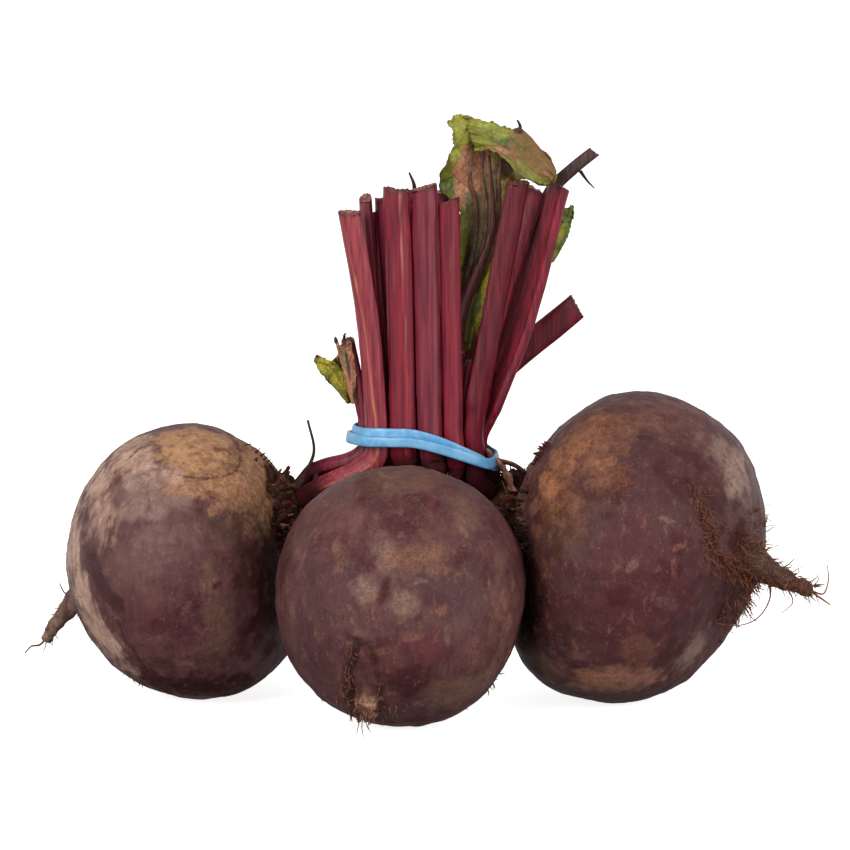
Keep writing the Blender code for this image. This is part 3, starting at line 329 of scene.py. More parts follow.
# Dark scars, by root: width in millimetres, strength and the pixels they pass. The right root's
# first line is painted crease shade under its ring of rootlets.
SCAR_AND_SHADE_LINES = {
    "left": ((3.0, 1.0, ((92, 560), (98, 580), (108, 596), (117, 606))),
             (0.8, 0.9, ((117, 606), (122, 632), (142, 664), (144, 680))),
             (0.6, 0.7, ((230, 434), (240, 450), (240, 464), (228, 475), (205, 480), (178, 476))),
             (0.4, 0.5, ((152, 440), (166, 458), (200, 470), (232, 464))),
             (0.4, 0.4, ((176, 438), (196, 453), (222, 457))),
             (0.5, 0.7, ((127, 460), (141, 447))),
             (0.5, 0.6, ((88, 486), (101, 470)))),
    "front": ((1.3, 0.95, ((358, 642), (353, 660), (350, 684), (351, 704))),
              (1.2, 0.9, ((381, 688), (380, 698), (382, 708))),
              (0.35, 0.5, ((343, 560), (344, 620), (349, 640))),
              (0.5, 0.5, ((499, 660), (503, 680), (496, 696))),
              (1.0, 0.6, ((362, 640), (372, 652), (378, 680)))),
    "right": ((1.2, 0.8, ((686, 480), (700, 504), (708, 532), (716, 552), (734, 566), (752, 580))),
              (0.4, 0.5, ((600, 455), (625, 452))),
              (0.35, 0.4, ((646, 508), (664, 516), (690, 514)))),
}
# Rootlets and scraps that stand along a line of pixels: kind, how many, scatter in pixels,
# lengths and radii in millimetres, and the pixels they follow.
TRAILS = {
    "left": (("scrap", 46, 5, (0.9, 2.8), (0.3, 0.9),
              ((247, 441), (264, 455), (276, 466), (285, 480), (284, 505), (280, 530), (284, 556))),
             ("hair", 10, 5, (1.0, 2.4), (0.12, 0.2), ((122, 676), (138, 684)))),
    "front": (("hair", 70, 4, (1.0, 3.0), (0.14, 0.3), ((352, 636), (347, 668), (346, 700), (352, 716))),
              ("scrap", 50, 4, (0.6, 1.8), (0.2, 0.6), ((358, 640), (352, 664), (350, 690), (352, 712))),
              ("scrap", 40, 3, (0.8, 2.2), (0.3, 0.8), ((350, 712), (362, 717), (380, 715))),
              ("hair", 8, 3, (0.8, 2.0), (0.15, 0.25), ((499, 676), (500, 694)))),
    "right": (("hair", 190, 6, (1.6, 4.6), (0.11, 0.24),
               ((690, 482), (702, 504), (709, 530), (714, 551), (730, 563), (746, 574), (756, 588))),
              ("hair", 150, 8, (1.5, 4.6), (0.11, 0.22), ((756, 540), (752, 570), (744, 600), (726, 622))),
              ("scrap", 26, 5, (0.8, 2.0), (0.25, 0.6), ((738, 596), (728, 610), (716, 640), (700, 664))),
              ("scrap", 110, 5, (0.8, 2.6), (0.4, 1.3),
               ((536, 438), (527, 450), (521, 468), (517, 500), (517, 530), (522, 556)))),
}

# Stalk colours: main, darker and streak.
TONES = {
    "rose": ((158, 64, 74), (116, 36, 50), (196, 126, 96)),
    "crimson": ((138, 34, 52), (94, 18, 36), (188, 106, 100)),
    "plum": ((130, 46, 60), (94, 28, 44), (148, 70, 76)),
    "wine": ((110, 24, 40), (76, 12, 26), (150, 40, 56)),
    "withered": ((76, 46, 40), (42, 26, 24), (122, 36, 52)),
    "rib": ((104, 58, 56), (66, 34, 36), (122, 98, 60)),
}
# Layers of colour on the leaves, and marks for them as for the skins.
LEAF_TONES = (
    ("olive", (106, 88, 46), (128, 94, 52)), ("rose", (166, 112, 82), (186, 136, 102)),
    ("grey", (104, 92, 66), (128, 116, 80)), ("green", (58, 78, 22), (92, 116, 34)),
    ("lime", (118, 134, 40), (158, 158, 58)), ("yellow", (142, 138, 36), (184, 176, 58)),
)
LEAF_MARKS = {
    "leaf_main": {
        "olive": ((532, 152, 30, 18, -36, 1.0), (505, 200, 16, 40, 0, 0.5)),
        "rose": ((472, 180, 26, 32, -10, 1.5), (500, 148, 20, 6, -16, 0.9), (536, 166, 20, 8, -40, 0.7)),
        "grey": ((478, 224, 14, 32, 14, 1.2), (492, 196, 10, 34, 8, 0.8)),
        "green": ((446, 186, 12, 15, 0, 1.0), (472, 222, 8, 18, 10, 0.5), (474, 300, 16, 50, -10, 0.6)),
        "lime": ((462, 126, 15, 14, -30, 1.0), (452, 150, 9, 16, 0, 0.7), (494, 132, 26, 8, -14, 0.8)),
        "yellow": ((460, 116, 7, 5, 0, 0.6), (486, 290, 5, 30, -10, 0.9), (478, 330, 6, 22, -16, 0.9)),
        # The first dark mark is painted shade in the hollow under the fold.
        "dark": ((506, 168, 12, 16, -20, 0.9), (466, 262, 5, 30, -8, 0.8), (512, 190, 8, 26, 0, 0.8)),
    },
    "leaf_flap": {
        "olive": ((534, 152, 34, 22, -36, 1.0), (515, 148, 20, 10, 0, 0.8)),
        "rose": ((500, 150, 24, 3, -12, 0.5), (536, 172, 20, 7, -34, 0.3), (544, 160, 10, 8, -40, 0.3)),
        "lime": ((480, 124, 18, 9, -8, 1.0), (500, 132, 16, 7, -14, 0.6)),
        "green": ((505, 140, 16, 6, -14, 0.8), (522, 148, 10, 6, -30, 0.6)),
        "dark": ((519, 131, 6, 4, 0, 0.9),),
    },
    "leaf_rag": {
        "rose": ((347, 360, 16, 34, 0, 1.4), (352, 390, 10, 20, 0, 1.0)),
        "grey": ((343, 352, 4, 20, 10, 0.8),),
        "dark": ((342, 334, 5, 7, 0, 1.0), (351, 336, 4, 6, 0, 0.9), (356, 392, 5, 14, 0, 0.8),
                 (348, 364, 2, 24, 8, 0.7)),
    },
    "leaf_left": {
        "olive": ((340, 352, 12, 18, 20, 1.0), (352, 380, 8, 16, 0, 0.8)),
        "rose": ((334, 350, 5, 10, 30, 0.8),),
        "yellow": ((328, 366, 12, 9, -45, 1.2), (338, 380, 12, 10, -45, 1.1)),
        "dark": ((338, 364, 2.5, 16, 38, 0.9), (320, 350, 4, 5, 0, 0.8), (344, 336, 5, 5, 0, 0.8),
                 (350, 396, 6, 9, 0, 0.7)),
    },
    "leaf_right": {
        "green": ((564, 232, 14, 28, -20, 1.0),),
        "yellow": ((558, 240, 4, 20, -20, 0.6),),
    },
}
# Stalks that are drawn a little wider than the solids, so that no light shows between them, and
# how much of its width a stalk keeps at its very end.
FULLER = {
    "stalk_right_1": 1.2, "stalk_right_2": 1.3,
    "stalk_left_3": 1.35, "stalk_left_4": 1.4, "stalk_left_5": 1.5, "stalk_front_2": 1.08,
    "stalk_front_3": 1.08, "stalk_front_4": 1.4, "stalk_front_5": 1.5, "stalk_front_6": 1.5,
    "stalk_withered": 1.3, "stalk_right_3": 1.6,
}
ENDS = {"stalk_leafy": 0.3, "stalk_withered": 0.8}


def unit(vector):
    """The same direction with length one, for one vector or for rows of them."""
    vector = np.asarray(vector, float)
    return vector / np.maximum(np.linalg.norm(vector, axis=-1, keepdims=True), 1e-9)


def ease(x):
    """Smooth step from 0 to 1."""
    x = np.clip(x, 0.0, 1.0)
    return x * x * (3.0 - 2.0 * x)


def curve(knots, points, at):
    """Points of a smooth curve through the given ones, at places along its knots."""
    knots = np.asarray(knots, float)
    points = np.asarray(points, float)
    at = np.asarray(at, float)
    slope = np.gradient(points, knots, axis=0)
    i = np.clip(np.searchsorted(knots, at, side="right") - 1, 0, len(knots) - 2)
    step = (knots[i + 1] - knots[i])[:, None]
    t = (at - knots[i])[:, None] / step
    rest = 1.0 - t
    return ((1.0 + 2.0 * t) * rest**2 * points[i] + t * rest**2 * step * slope[i]
            + t**2 * (3.0 - 2.0 * t) * points[i + 1] - t**2 * rest * step * slope[i + 1])


def run_of(points):
    """Distance along a line of points, at each of them."""
    return np.concatenate(([0.0], np.cumsum(np.linalg.norm(np.diff(points, axis=0), axis=1))))


def smooth_line(points, count):
    """Evenly spaced points of a smooth curve through a few."""
    points = np.asarray(points, float)
    knots = run_of(points[:, :3])
    return curve(knots, points, np.linspace(0.0, knots[-1], count))


# Fields


def hashed(cells, seed):
    """A random number from -1 to 1 for every lattice cell."""
    x, y, z, extra = HASH_STEPS
    key = (cells[..., 0] * x ^ cells[..., 1] * y ^ cells[..., 2] * z ^ seed * extra) & WORD
    for _ in range(2):
        key = (key ^ (key >> 15)) * HASH_MIX & WORD
    return (key ^ (key >> 16)) / (0.5 * WORD) - 1.0


def noise(points, size, seed):
    """A smooth random field with features of that size, from -1 to 1."""
    place = points / size + 0.37 * seed
    cell = np.floor(place).astype(np.int64)
    t = place - cell
    t = t * t * t * (t * (t * 6.0 - 15.0) + 10.0)
    total = 0.0
    for corner in itertools.product((0, 1), repeat=3):
        weight = np.where(corner, t, 1.0 - t).prod(axis=-1)
        total = total + weight * hashed(cell + np.array(corner), seed)
    return total


def fractal(points, size, seed, octaves=4):
    """Noise with finer and fainter layers on it."""
    layers = [noise(points, size / 2.0**i, seed + 7 * i) / 1.8**i for i in range(octaves)]
    return sum(layers)


def cracks(points, size, seed):
    """Ridges where a field crosses zero: a net of fine lines, from 0 to 1."""
    first = 1.0 - np.clip(np.abs(noise(points, size, seed)) * 5.0, 0.0, 1.0)
    second = 1.0 - np.clip(np.abs(noise(points, 0.6 * size, seed + 3)) * 5.0, 0.0, 1.0)
    return np.maximum(first, 0.8 * second)


# The photograph's frame


def camera_frame():
    """The camera's place and its directions to the right, up and ahead, in design space."""
    lift = math.radians(VIEW["elevation"])
    ahead = np.array((0.0, math.cos(lift), -math.sin(lift)))
    up = np.array((0.0, math.sin(lift), math.cos(lift)))
    return np.array(VIEW["target"]) - VIEW["distance"] * ahead, np.array((1.0, 0.0, 0.0)), up, ahead


def to_pixels(points):
    """Where points of the design show in the photograph."""
    place, right, up, ahead = camera_frame()
    offset = points - place
    scale = VIEW["focal"] / (offset @ ahead)
    return 0.5 * PHOTO_SIZE + np.stack((offset @ right * scale, -(offset @ up) * scale), axis=1)


def seen_at(pixel, pixels, facing):
    """Which point of a skin shows at a pixel."""
    off = np.linalg.norm(pixels - np.array(pixel, float), axis=1) + np.where(facing, 0.0, HIDDEN)
    return int(np.argmin(off))


def land(pixel, points, pixels, facing):
    """The skin's point that shows at a pixel."""
    return points[seen_at(pixel, pixels, facing)]


# Materials


def linear(tone):
    """A colour's linear values from its sRGB ones."""
    share = np.array(tone) / 255.0
    return tuple(np.where(share <= 0.04045, share / 12.92, ((share + 0.055) / 1.055) ** 2.4))


class Graph:
    """Short hand for building a node material."""

    def __init__(self, name, roughness, specular):
        self.material = bpy.data.materials.new(name)
        self.material.use_nodes = True
        self.tree = self.material.node_tree
        self.shader = self.tree.nodes["Principled BSDF"]
        self.shader.inputs["Roughness"].default_value = roughness
        self.shader.inputs["Specular IOR Level"].default_value = specular
        self.place = self.tree.nodes.new("ShaderNodeTexCoord").outputs["Object"]

    def put(self, socket, value):
        """Link a socket to a value's socket, or set it."""
        if isinstance(value, bpy.types.NodeSocket):
            self.tree.links.new(value, socket)
        elif socket.type == "RGBA":
            socket.default_value = (*linear(value), 1.0)
        else:
            socket.default_value = value

    def node(self, kind, inputs, **settings):
        """A node with some of its inputs and settings set."""
        made = self.tree.nodes.new("ShaderNode" + kind)
        for key, value in settings.items():
            setattr(made, key, value)
        for key, value in inputs.items():
            self.put(made.inputs[key], value)
        return made

    def mask(self, name):
        """A mask stored on the mesh."""
        return self.node("Attribute", {}, attribute_name=name).outputs["Fac"]

    def stretched(self, scale):
        """Object coordinates scaled by axis."""
        return self.node("Mapping", {"Vector": self.place, "Scale": scale}).outputs["Vector"]

    def noise(self, scale, detail, rough=0.6, place=None):
        """Noise with that many features to a metre."""
        inputs = {"Vector": place or self.place, "Scale": scale, "Detail": detail,
                  "Roughness": rough}
        return self.node("TexNoise", inputs).outputs["Fac"]

    def math(self, operation, *values):
        """Arithmetic on two or three values."""
        return self.node("Math", dict(enumerate(values)), operation=operation).outputs[0]

    def weigh(self, first, share, second, rest):
        """Two values added in those shares."""
        return self.math("MULTIPLY_ADD", first, share, self.math("MULTIPLY", second, rest))

    def ramp(self, value, low, high, to_low=0.0, to_high=1.0):
        """A smooth step between two values."""
        inputs = {"Value": value, "From Min": low, "From Max": high,
                  "To Min": to_low, "To Max": to_high}
        return self.node("MapRange", inputs, interpolation_type="SMOOTHSTEP").outputs["Result"]

    def mix(self, share, first, second):
        """A blend of two colours."""
        made = self.node("Mix", {0: share, 6: first, 7: second}, data_type="RGBA")
        return made.outputs[2]

    def mottle(self, value, low, high, first, second):
        """Two colours mixed by where a value is on a smooth step."""
        return self.mix(self.ramp(value, low, high), first, second)

    def veil(self, color, value, low, high, tone, most):
        """A colour with at most that share of another over it, by a value's smooth step."""
        return self.mix(self.math("MULTIPLY", self.ramp(value, low, high), most), color, tone)

    def broken(self, name, texture, low, high, spread):
        """A mask whose edge is broken up by a texture."""
        grain = self.math("MULTIPLY", self.math("SUBTRACT", texture, 0.5), spread)
        mask = self.mask(name)
        shown = self.ramp(self.math("ADD", mask, grain), low, high)
        return self.math("MULTIPLY", shown, self.ramp(mask, 0.02, 0.3))

    def finish(self, color, bumps, roughness=None):
        """Set the colour, a varied roughness, and a chain of bumps: height, strength and depth."""
        self.put(self.shader.inputs["Base Color"], color)
        if roughness is not None:
            self.put(self.shader.inputs["Roughness"], roughness)
        normal = None
        for height, strength, depth in bumps:
            inputs = {"Height": height, "Strength": strength, "Distance": depth * MM}
            if normal is not None:
                inputs["Normal"] = normal
            normal = self.node("Bump", inputs).outputs["Normal"]
        self.put(self.shader.inputs["Normal"], normal)
        return self.material


def skin_material(name):
    """Beetroot skin: layers of mottled colour with painted sheen and shade among them, freckles, pits, and
    corky places less glossy.
    """
    graph = Graph("skin_" + name, 0.55, 0.28)
    broad = graph.noise(70.0, 6.0, 0.65)
    fine = graph.noise(420.0, 5.0, 0.7)
    grain = graph.noise(1500.0, 3.0, 0.7)
    speck = graph.weigh(grain, 0.55, fine, 0.45)
    drag = graph.noise(520.0, 3.0, 0.6, graph.stretched((1.0, 1.0, 0.14)))
    wander = graph.node("TexNoise", {"Vector": graph.place, "Scale": 420.0, "Detail": 3.0})
    bent = graph.node("VectorMath", {0: wander.outputs["Color"], 1: (4 * MM,) * 3, 2: graph.place},
                      operation="MULTIPLY_ADD").outputs[0]
    cells = graph.node("TexVoronoi", {"Vector": bent, "Scale": 430.0},
                       feature="DISTANCE_TO_EDGE").outputs["Distance"]
    lines = graph.math("MULTIPLY", graph.math("SUBTRACT", graph.ramp(cells, 0.20, 0.02), 0.3), 0.09)
    netted = graph.math("ADD", speck, lines)
    cloudy = graph.noise(300.0, 6.0, 0.75, graph.stretched((1.0, 1.0, 0.55)))
    (_, first, second, _), *layers = SKINS[name]
    color = graph.mottle(graph.weigh(broad, 0.6, drag, 0.4), 0.40, 0.62, first, second)
    edges = {"gold": netted, "tan": netted, "rim": drag, "tail": drag}
    full = {"scar_and_shade": 0.95, "tail": 0.95, "painted_shade": 1.0}
    for mask, first, second, most in layers:
        spread = 3.0 if mask == "gold" else 1.8
        shown = graph.broken(mask, edges.get(mask, fine), 0.03, full.get(mask, 1.3), spread)
        layer = graph.mottle(speck, 0.43, 0.57, first, second)
        color = graph.mix(graph.math("MULTIPLY", shown, most), color, layer)
    color = graph.veil(color, speck, 0.54, 0.66, (152, 112, 92), 0.34)
    color = graph.veil(color, grain, 0.44, 0.32, (50, 26, 26), 0.5)
    color = graph.veil(color, cloudy, 0.48, 0.34, (54, 28, 30), 0.42)
    color = graph.veil(color, cloudy, 0.54, 0.68, (150, 106, 88), 0.36)
    gloss = graph.ramp(graph.mask("deep"), 0.1, 0.6, 0.26, 0.02)
    graph.put(graph.shader.inputs["Specular IOR Level"], gloss)
    dusty = graph.math("ADD", graph.mask("gold"), graph.math("MULTIPLY", fine, 0.6))
    rough = graph.ramp(dusty, 0.2, 1.1, 0.50, 0.74)
    return graph.finish(color, ((cloudy, 0.6, 0.6), (grain, 0.45, 0.24)), rough)


def stalk_material(name):
    """Leaf stalk: satin, ribbed lengthwise, with pale streaks, a darker foot and a dry cut."""
    base, deep, streak = TONES[name]
    graph = Graph("stalk_" + name, 0.42, 0.3)
    along = graph.noise(1000.0, 3.0, 0.6, graph.stretched((1.0, 1.0, 0.035)))
    spots = graph.noise(260.0, 4.0, 0.6)
    color = graph.mottle(along, 0.36, 0.66, base, deep)
    color = graph.mix(graph.broken("streak", along, 0.2, 1.1, 1.6), color, streak)
    color = graph.mix(graph.broken("foot", spots, 0.3, 0.9, 0.7), color, (54, 21, 24))
    cut = graph.mottle(graph.noise(1400.0, 2.0), 0.42, 0.6, (112, 54, 60), (158, 104, 92))
    color = graph.mix(graph.mask("cut"), color, cut)
    color = graph.mix(graph.mask("rim"), color, (70, 32, 34))
    gloss = graph.ramp(graph.mask("foot"), 0.0, 0.5, 0.3, 0.02)
    graph.put(graph.shader.inputs["Specular IOR Level"], gloss)
    return graph.finish(color, ((along, 0.3, 0.4), (spots, 0.2, 0.3)))


def leaf_material(name):
    """Leaf blade: layers of green, olive, rose brown and yellow, with veins, dark dry edges and painted
    shade.
    """
    graph = Graph(name, 0.5, 0.35)
    blotch = graph.noise(190.0, 5.0, 0.65)
    fine = graph.noise(700.0, 4.0, 0.7)
    net = graph.node("TexVoronoi", {"Vector": graph.place, "Scale": 620.0},
                     feature="DISTANCE_TO_EDGE").outputs["Distance"]
    color = graph.mottle(blotch, 0.36, 0.66, (92, 104, 30), (132, 136, 44))
    for mask, first, second in LEAF_TONES:
        share = graph.broken(mask, blotch, 0.15, 0.85, 1.2)
        color = graph.mix(share, color, graph.mottle(fine, 0.40, 0.60, first, second))
    color = graph.veil(color, net, 0.09, 0.0, (104, 62, 44), 0.4)
    color = graph.mottle(graph.mask("vein"), 0.3, 1.0, color, (134, 72, 62))
    color = graph.mottle(graph.mask("dark"), 0.2, 0.9, color, (58, 34, 26))
    return graph.finish(color, ((net, 0.3, 0.35), (blotch, 0.3, 0.6)))


def rubber_material():
    """Light blue rubber, a little chalky, with painted shade below, inside and at its right end."""
    graph = Graph("rubber_blue", 0.34, 0.5)
    cloud = graph.noise(260.0, 4.0, 0.6)
    color = graph.mottle(cloud, 0.35, 0.7, (92, 158, 208), (128, 188, 226))
    color = graph.mottle(graph.mask("edge"), 0.3, 1.0, color, (40, 112, 178))
    color = graph.mottle(graph.mask("shade"), 0.2, 1.0, color, (24, 84, 140))
    return graph.finish(color, ((graph.noise(1200.0, 3.0), 0.15, 0.15), (cloud, 0.2, 0.4)))


def plain_material(name, first, second, scale, roughness):
    """Dry or woody matter in two mixed colours."""
    graph = Graph(name, roughness, 0.25)
    grain = graph.noise(scale, 5.0, 0.7)
    color = graph.mottle(grain, 0.35, 0.65, first, second)
    return graph.finish(color, ((grain, 0.6, 0.4),))


def scrap_material():
    """Old stalk bases: black brown, tan or maroon by piece."""
    graph = Graph("crown_scrap", 0.75, 0.2)
    grain = graph.noise(600.0, 5.0, 0.7)
    hue = graph.mask("hue")
    color = graph.mottle(grain, 0.35, 0.65, (36, 22, 20), (70, 42, 34))
    color = graph.mottle(hue, 0.55, 0.60, color, (92, 30, 42))
    color = graph.mottle(hue, 0.78, 0.82, color, (120, 86, 58))
    return graph.finish(color, ((grain, 0.6, 0.4),))


# Meshes


def to_frame(points):
    """Design millimetres to the frame's metres."""
    return (np.asarray(points, float) - ORIGIN) * MM


def linked(name, data):
    """A new object of that data in the scene."""
    made = bpy.data.objects.new(name, data)
    bpy.context.scene.collection.objects.link(made)
    return made


def add_piece(name, points, faces, material, masks=None, nodes=(), slot="root_skin"):
    """A smooth mesh in the frame with its masks, riding on the bunch."""
    mesh = bpy.data.meshes.new(name)
    mesh.from_pydata(to_frame(points).tolist(), [], [tuple(map(int, f)) for f in faces])
    mesh.shade_smooth()
    made = linked(name, mesh)
    set_masks(mesh, masks or {})
    mesh.materials.append(material)
    settle(made, nodes, slot)


def set_masks(mesh, masks):
    """Store masks on a mesh's points."""
    for key, values in masks.items():
        layer = mesh.attributes.new(key, "FLOAT", "POINT")
        layer.data.foreach_set("value", np.ascontiguousarray(values, np.float32))


def settle(made, nodes, slot):
    """Let a piece ride on the bunch and stand for its nodes."""
    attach(made, "root")
    if nodes:
        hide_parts(*nodes)


def loft(rings, closed=False):
    """Points and faces of a skin over equal rings, with end caps unless it closes on itself."""
    count, sides, _ = rings.shape
    i = np.arange(count if closed else count - 1)[:, None]
    k = np.arange(sides)[None]
    a, b = i * sides, (i + 1) % count * sides
    after = (k + 1) % sides
    faces = np.stack((a + k, a + after, b + after, b + k), axis=-1).reshape(-1, 4).tolist()
    if not closed:
        faces.append(tuple(range(sides - 1, -1, -1)))
        faces.append(tuple(range((count - 1) * sides, count * sides)))
    return rings.reshape(-1, 3), faces


def tube(line, radii, sides, flatten=1.0):
    """Points and faces of a tapered tube along a line."""
    line = np.asarray(line, float)
    ahead = unit(np.gradient(line, axis=0))
    side = unit(np.cross(ahead[0], (0.31, 0.52, 0.79)))
    rings = []
    turn = -2.0 * np.pi * np.arange(sides) / sides
    for place, way, radius in zip(line, ahead, radii):
        side = unit(side - (side @ way) * way)
        other = np.cross(way, side)
        spokes = np.outer(np.cos(turn), side) + flatten * np.outer(np.sin(turn), other)
        rings.append(place + radius * spokes)
    return loft(np.array(rings)[:, ::-1])


def strand(points, steps, radii, sides, flatten=1.0):
    """A tube along a smooth curve through a few points, from one radius to another."""
    return tube(smooth_line(points, steps), np.linspace(*radii, steps), sides, flatten)


def gather(shapes):
    """Several points and faces lists as one."""
    points = []
    faces = []
    start = 0
    for some, theirs in shapes:
        points.append(some)
        faces += [tuple(start + v for v in face) for face in theirs]
        start += len(some)
    return np.concatenate(points), faces


# Roots


def crown_middle(root):
    """Middle of the ball whose outer half is the root's crown, and the way it points."""
    ahead = unit(np.array(root["crown"]) - root["middle"])
    return np.array(root["crown"]) - CROWN_RADIUS * ahead, ahead


def globe_radius(root, s):
    """Radius of the globe at distance s along its axis, fuller towards the crown."""
    half = np.where(s > 0.0, *root["along"])
    power = np.where(s > 0.0, SHOULDER_POWER, 2.0)
    share = 1.0 - np.clip(np.abs(s) / half, 0.0, 1.0) ** power
    return root["across"] * np.clip(share, 0.0, 1.0) ** 0.48


def globe_frame(root):
    """The globe's axis and two directions across it."""
    axis = unit(root["axis"])
    side = np.array((0.0, 1.0, 0.0)) if abs(axis[0]) > 0.5 else np.array((1.0, 0.0, 0.0))
    first = unit(side - (axis @ side) * axis)
    return axis, first, np.cross(axis, first)


def uneven(root, points):
    """Gentle swellings of a globe, and the flat where it leans on its neighbour."""
    middle = np.array(root["middle"])
    out = unit(points - middle)
    amount, phase = root["swell"]
    waves = (np.sin(3.1 * out[:, 0] + 2.3 * out[:, 2] + phase)
             + 0.7 * np.sin(4.3 * out[:, 1] - 3.7 * out[:, 2] + 2.0 * phase)
             + 0.5 * np.sin(6.1 * out[:, 0] + 5.2 * out[:, 1] + 3.0 * phase))
    towards, depth = root["flat"]
    gap = np.arccos(np.clip(out @ unit(towards), -1.0, 1.0))
    inward = depth * np.exp(-((gap / FLAT_WIDTH) ** 2))
    return points + (points - middle) * (amount * waves)[:, None] - out * inward[:, None]


def globe_shell(root):
    """Points and faces of the unevened globe."""
    rings, sides = GLOBE_GRID
    axis, first, second = globe_frame(root)
    swing = np.cos(np.linspace(0.002, np.pi - 0.002, rings))
    s = np.where(swing > 0.0, root["along"][0], root["along"][1]) * swing
    turn = -2.0 * np.pi * np.arange(sides) / sides
    spokes = np.outer(np.cos(turn), first) + np.outer(np.sin(turn), second)
    placed = (np.array(root["middle"]) + s[:, None, None] * axis
              + globe_radius(root, s)[:, None, None] * spokes[None])
    flat = uneven(root, placed.reshape(-1, 3)).reshape(placed.shape)
    return loft(flat[::-1])


def crown_shell(root):
    """Points and faces of the crown's ball, drawn out from the globe."""
    middle, ahead = crown_middle(root)
    reach = np.linspace(-0.9, 0.999, 24)
    line = middle + np.outer(reach * CROWN_RADIUS, ahead)
    return tube(line, CROWN_RADIUS * np.sqrt(1.0 - reach**2), 40)


# By root: its skin's points, normals, pixels and whether each is seen in the photograph.
LANDING = {}


def root_line(root):
    """The tail's middle line with radii, flaring into the globe."""
    tail = np.array(root["tail"])
    middle = np.array(root["middle"])
    inner = tail[0, :3] + FLARE_START * (middle - tail[0, :3])
    start = np.append(inner, FLARE_WIDTH * tail[0, 3])
    first, last, kept = root["slim"]
    line = smooth_line(np.vstack((start, tail)), TAIL_STEPS)
    line = smooth_line(line[:int(TAIL_STEPS * kept)], TAIL_STEPS)
    line[:, 3] *= np.linspace(first, last, TAIL_STEPS)
    return line


def remeshed(name, shapes):
    """One smooth skin round several overlapping shapes."""
    points, faces = gather(shapes)
    mesh = bpy.data.meshes.new(name)
    mesh.from_pydata((points * MM).tolist(), [], faces)
    made = linked(name, mesh)
    skin = made.modifiers.new("skin", "REMESH")
    skin.mode = "VOXEL"
    skin.voxel_size = VOXEL * MM
    soft = made.modifiers.new("soft", "SMOOTH")
    soft.factor = SMOOTHING["factor"]
    soft.iterations = SMOOTHING["iterations"]
    graph = bpy.context.evaluated_depsgraph_get()
    done = bpy.data.meshes.new_from_object(made.evaluated_get(graph), depsgraph=graph)
    bpy.data.objects.remove(made)
    return done


def mesh_arrays(mesh):
    """A mesh's points in design millimetres and their normals."""
    flat = np.empty(len(mesh.vertices) * 3)
    mesh.vertices.foreach_get("co", flat)
    normals = np.empty(len(mesh.vertices) * 3)
    mesh.vertices.foreach_get("normal", normals)
    return flat.reshape(-1, 3) / MM, normals.reshape(-1, 3)


# Places where a skin stands out from the solid or in from it: pixel, reach and amount in mm.
RESHAPE = {
    "left": (((232, 684), 16.0, 0.8), ((92, 636), 12.0, -0.8), ((204, 420), 14.0, -0.9)),
    "front": (((300, 660), 12.0, 0.6),),
    "right": (((735, 612), 18.0, -4.4), ((706, 650), 16.0, -1.8), ((527, 652), 15.0, 1.8),
              ((560, 688), 12.0, 0.8), ((745, 440), 12.0, 0.6)),
}


def reshaped(name, points, normals):
    """A skin's points moved in and out by place."""
    pixels = to_pixels(points)
    facing = normals @ camera_frame()[3] < SEEN_SHAPE
    out = unit(points - np.array(ROOTS[name]["middle"]))
    for pixel, reach, amount in RESHAPE[name]:
        away = np.linalg.norm(points - land(pixel, points, pixels, facing), axis=1) / reach
        points = points + (amount * np.exp(-away**2))[:, None] * out
    return points


# Where a kind of mark starts to fade, as a share of its half size, and over how much. How deep a
# mark goes for its size, and how uneven its edge is.
FADES = {"tan": (0.55, 0.6), "rim": (0.15, 1.2)}
OTHER_FADES = (0.35, 1.0)
MARK_DEPTH = 1.8
MARK_EDGE = 0.27


def mark_mask(points, kind, rows, pixels, facing, rough_edge, warp):
    """The union of a kind of marks, as a mask with an uneven edge."""
    mask = np.zeros(len(points))
    start, run = FADES.get(kind, OTHER_FADES)
    for across, down, wide, tall, tilt, strength in rows:
        offset = points + warp - land((across, down), points, pixels, facing)
        c, s = math.cos(math.radians(tilt)), math.sin(math.radians(tilt))
        along = (c * offset[:, 0] + s * offset[:, 2]) / (wide * PIXEL)
        over = (c * offset[:, 2] - s * offset[:, 0]) / (tall * PIXEL)
        deep = offset[:, 1] / (MARK_DEPTH * max(wide, tall) * PIXEL)
        away = np.sqrt(along**2 + over**2 + deep**2) + MARK_EDGE * run * rough_edge
        mask = np.maximum(mask, strength * (1.0 - ease((away - start) / run)))
    return mask


def scar_and_shade_mask(points, rows, pixels, facing):
    """Lines that the skin's scars and its painted crease shade follow, as a mask."""
    mask = np.zeros(len(points))
    for width, strength, trail in rows:
        stops = np.array([land(pixel, points, pixels, facing) for pixel in trail])
        for spot in smooth_line(stops, int(run_of(stops)[-1] / (0.5 * width)) + 2):
            away = np.linalg.norm(points - spot, axis=1) / width
            mask = np.maximum(mask, strength * (1.0 - ease(away - 0.4)))
    return mask


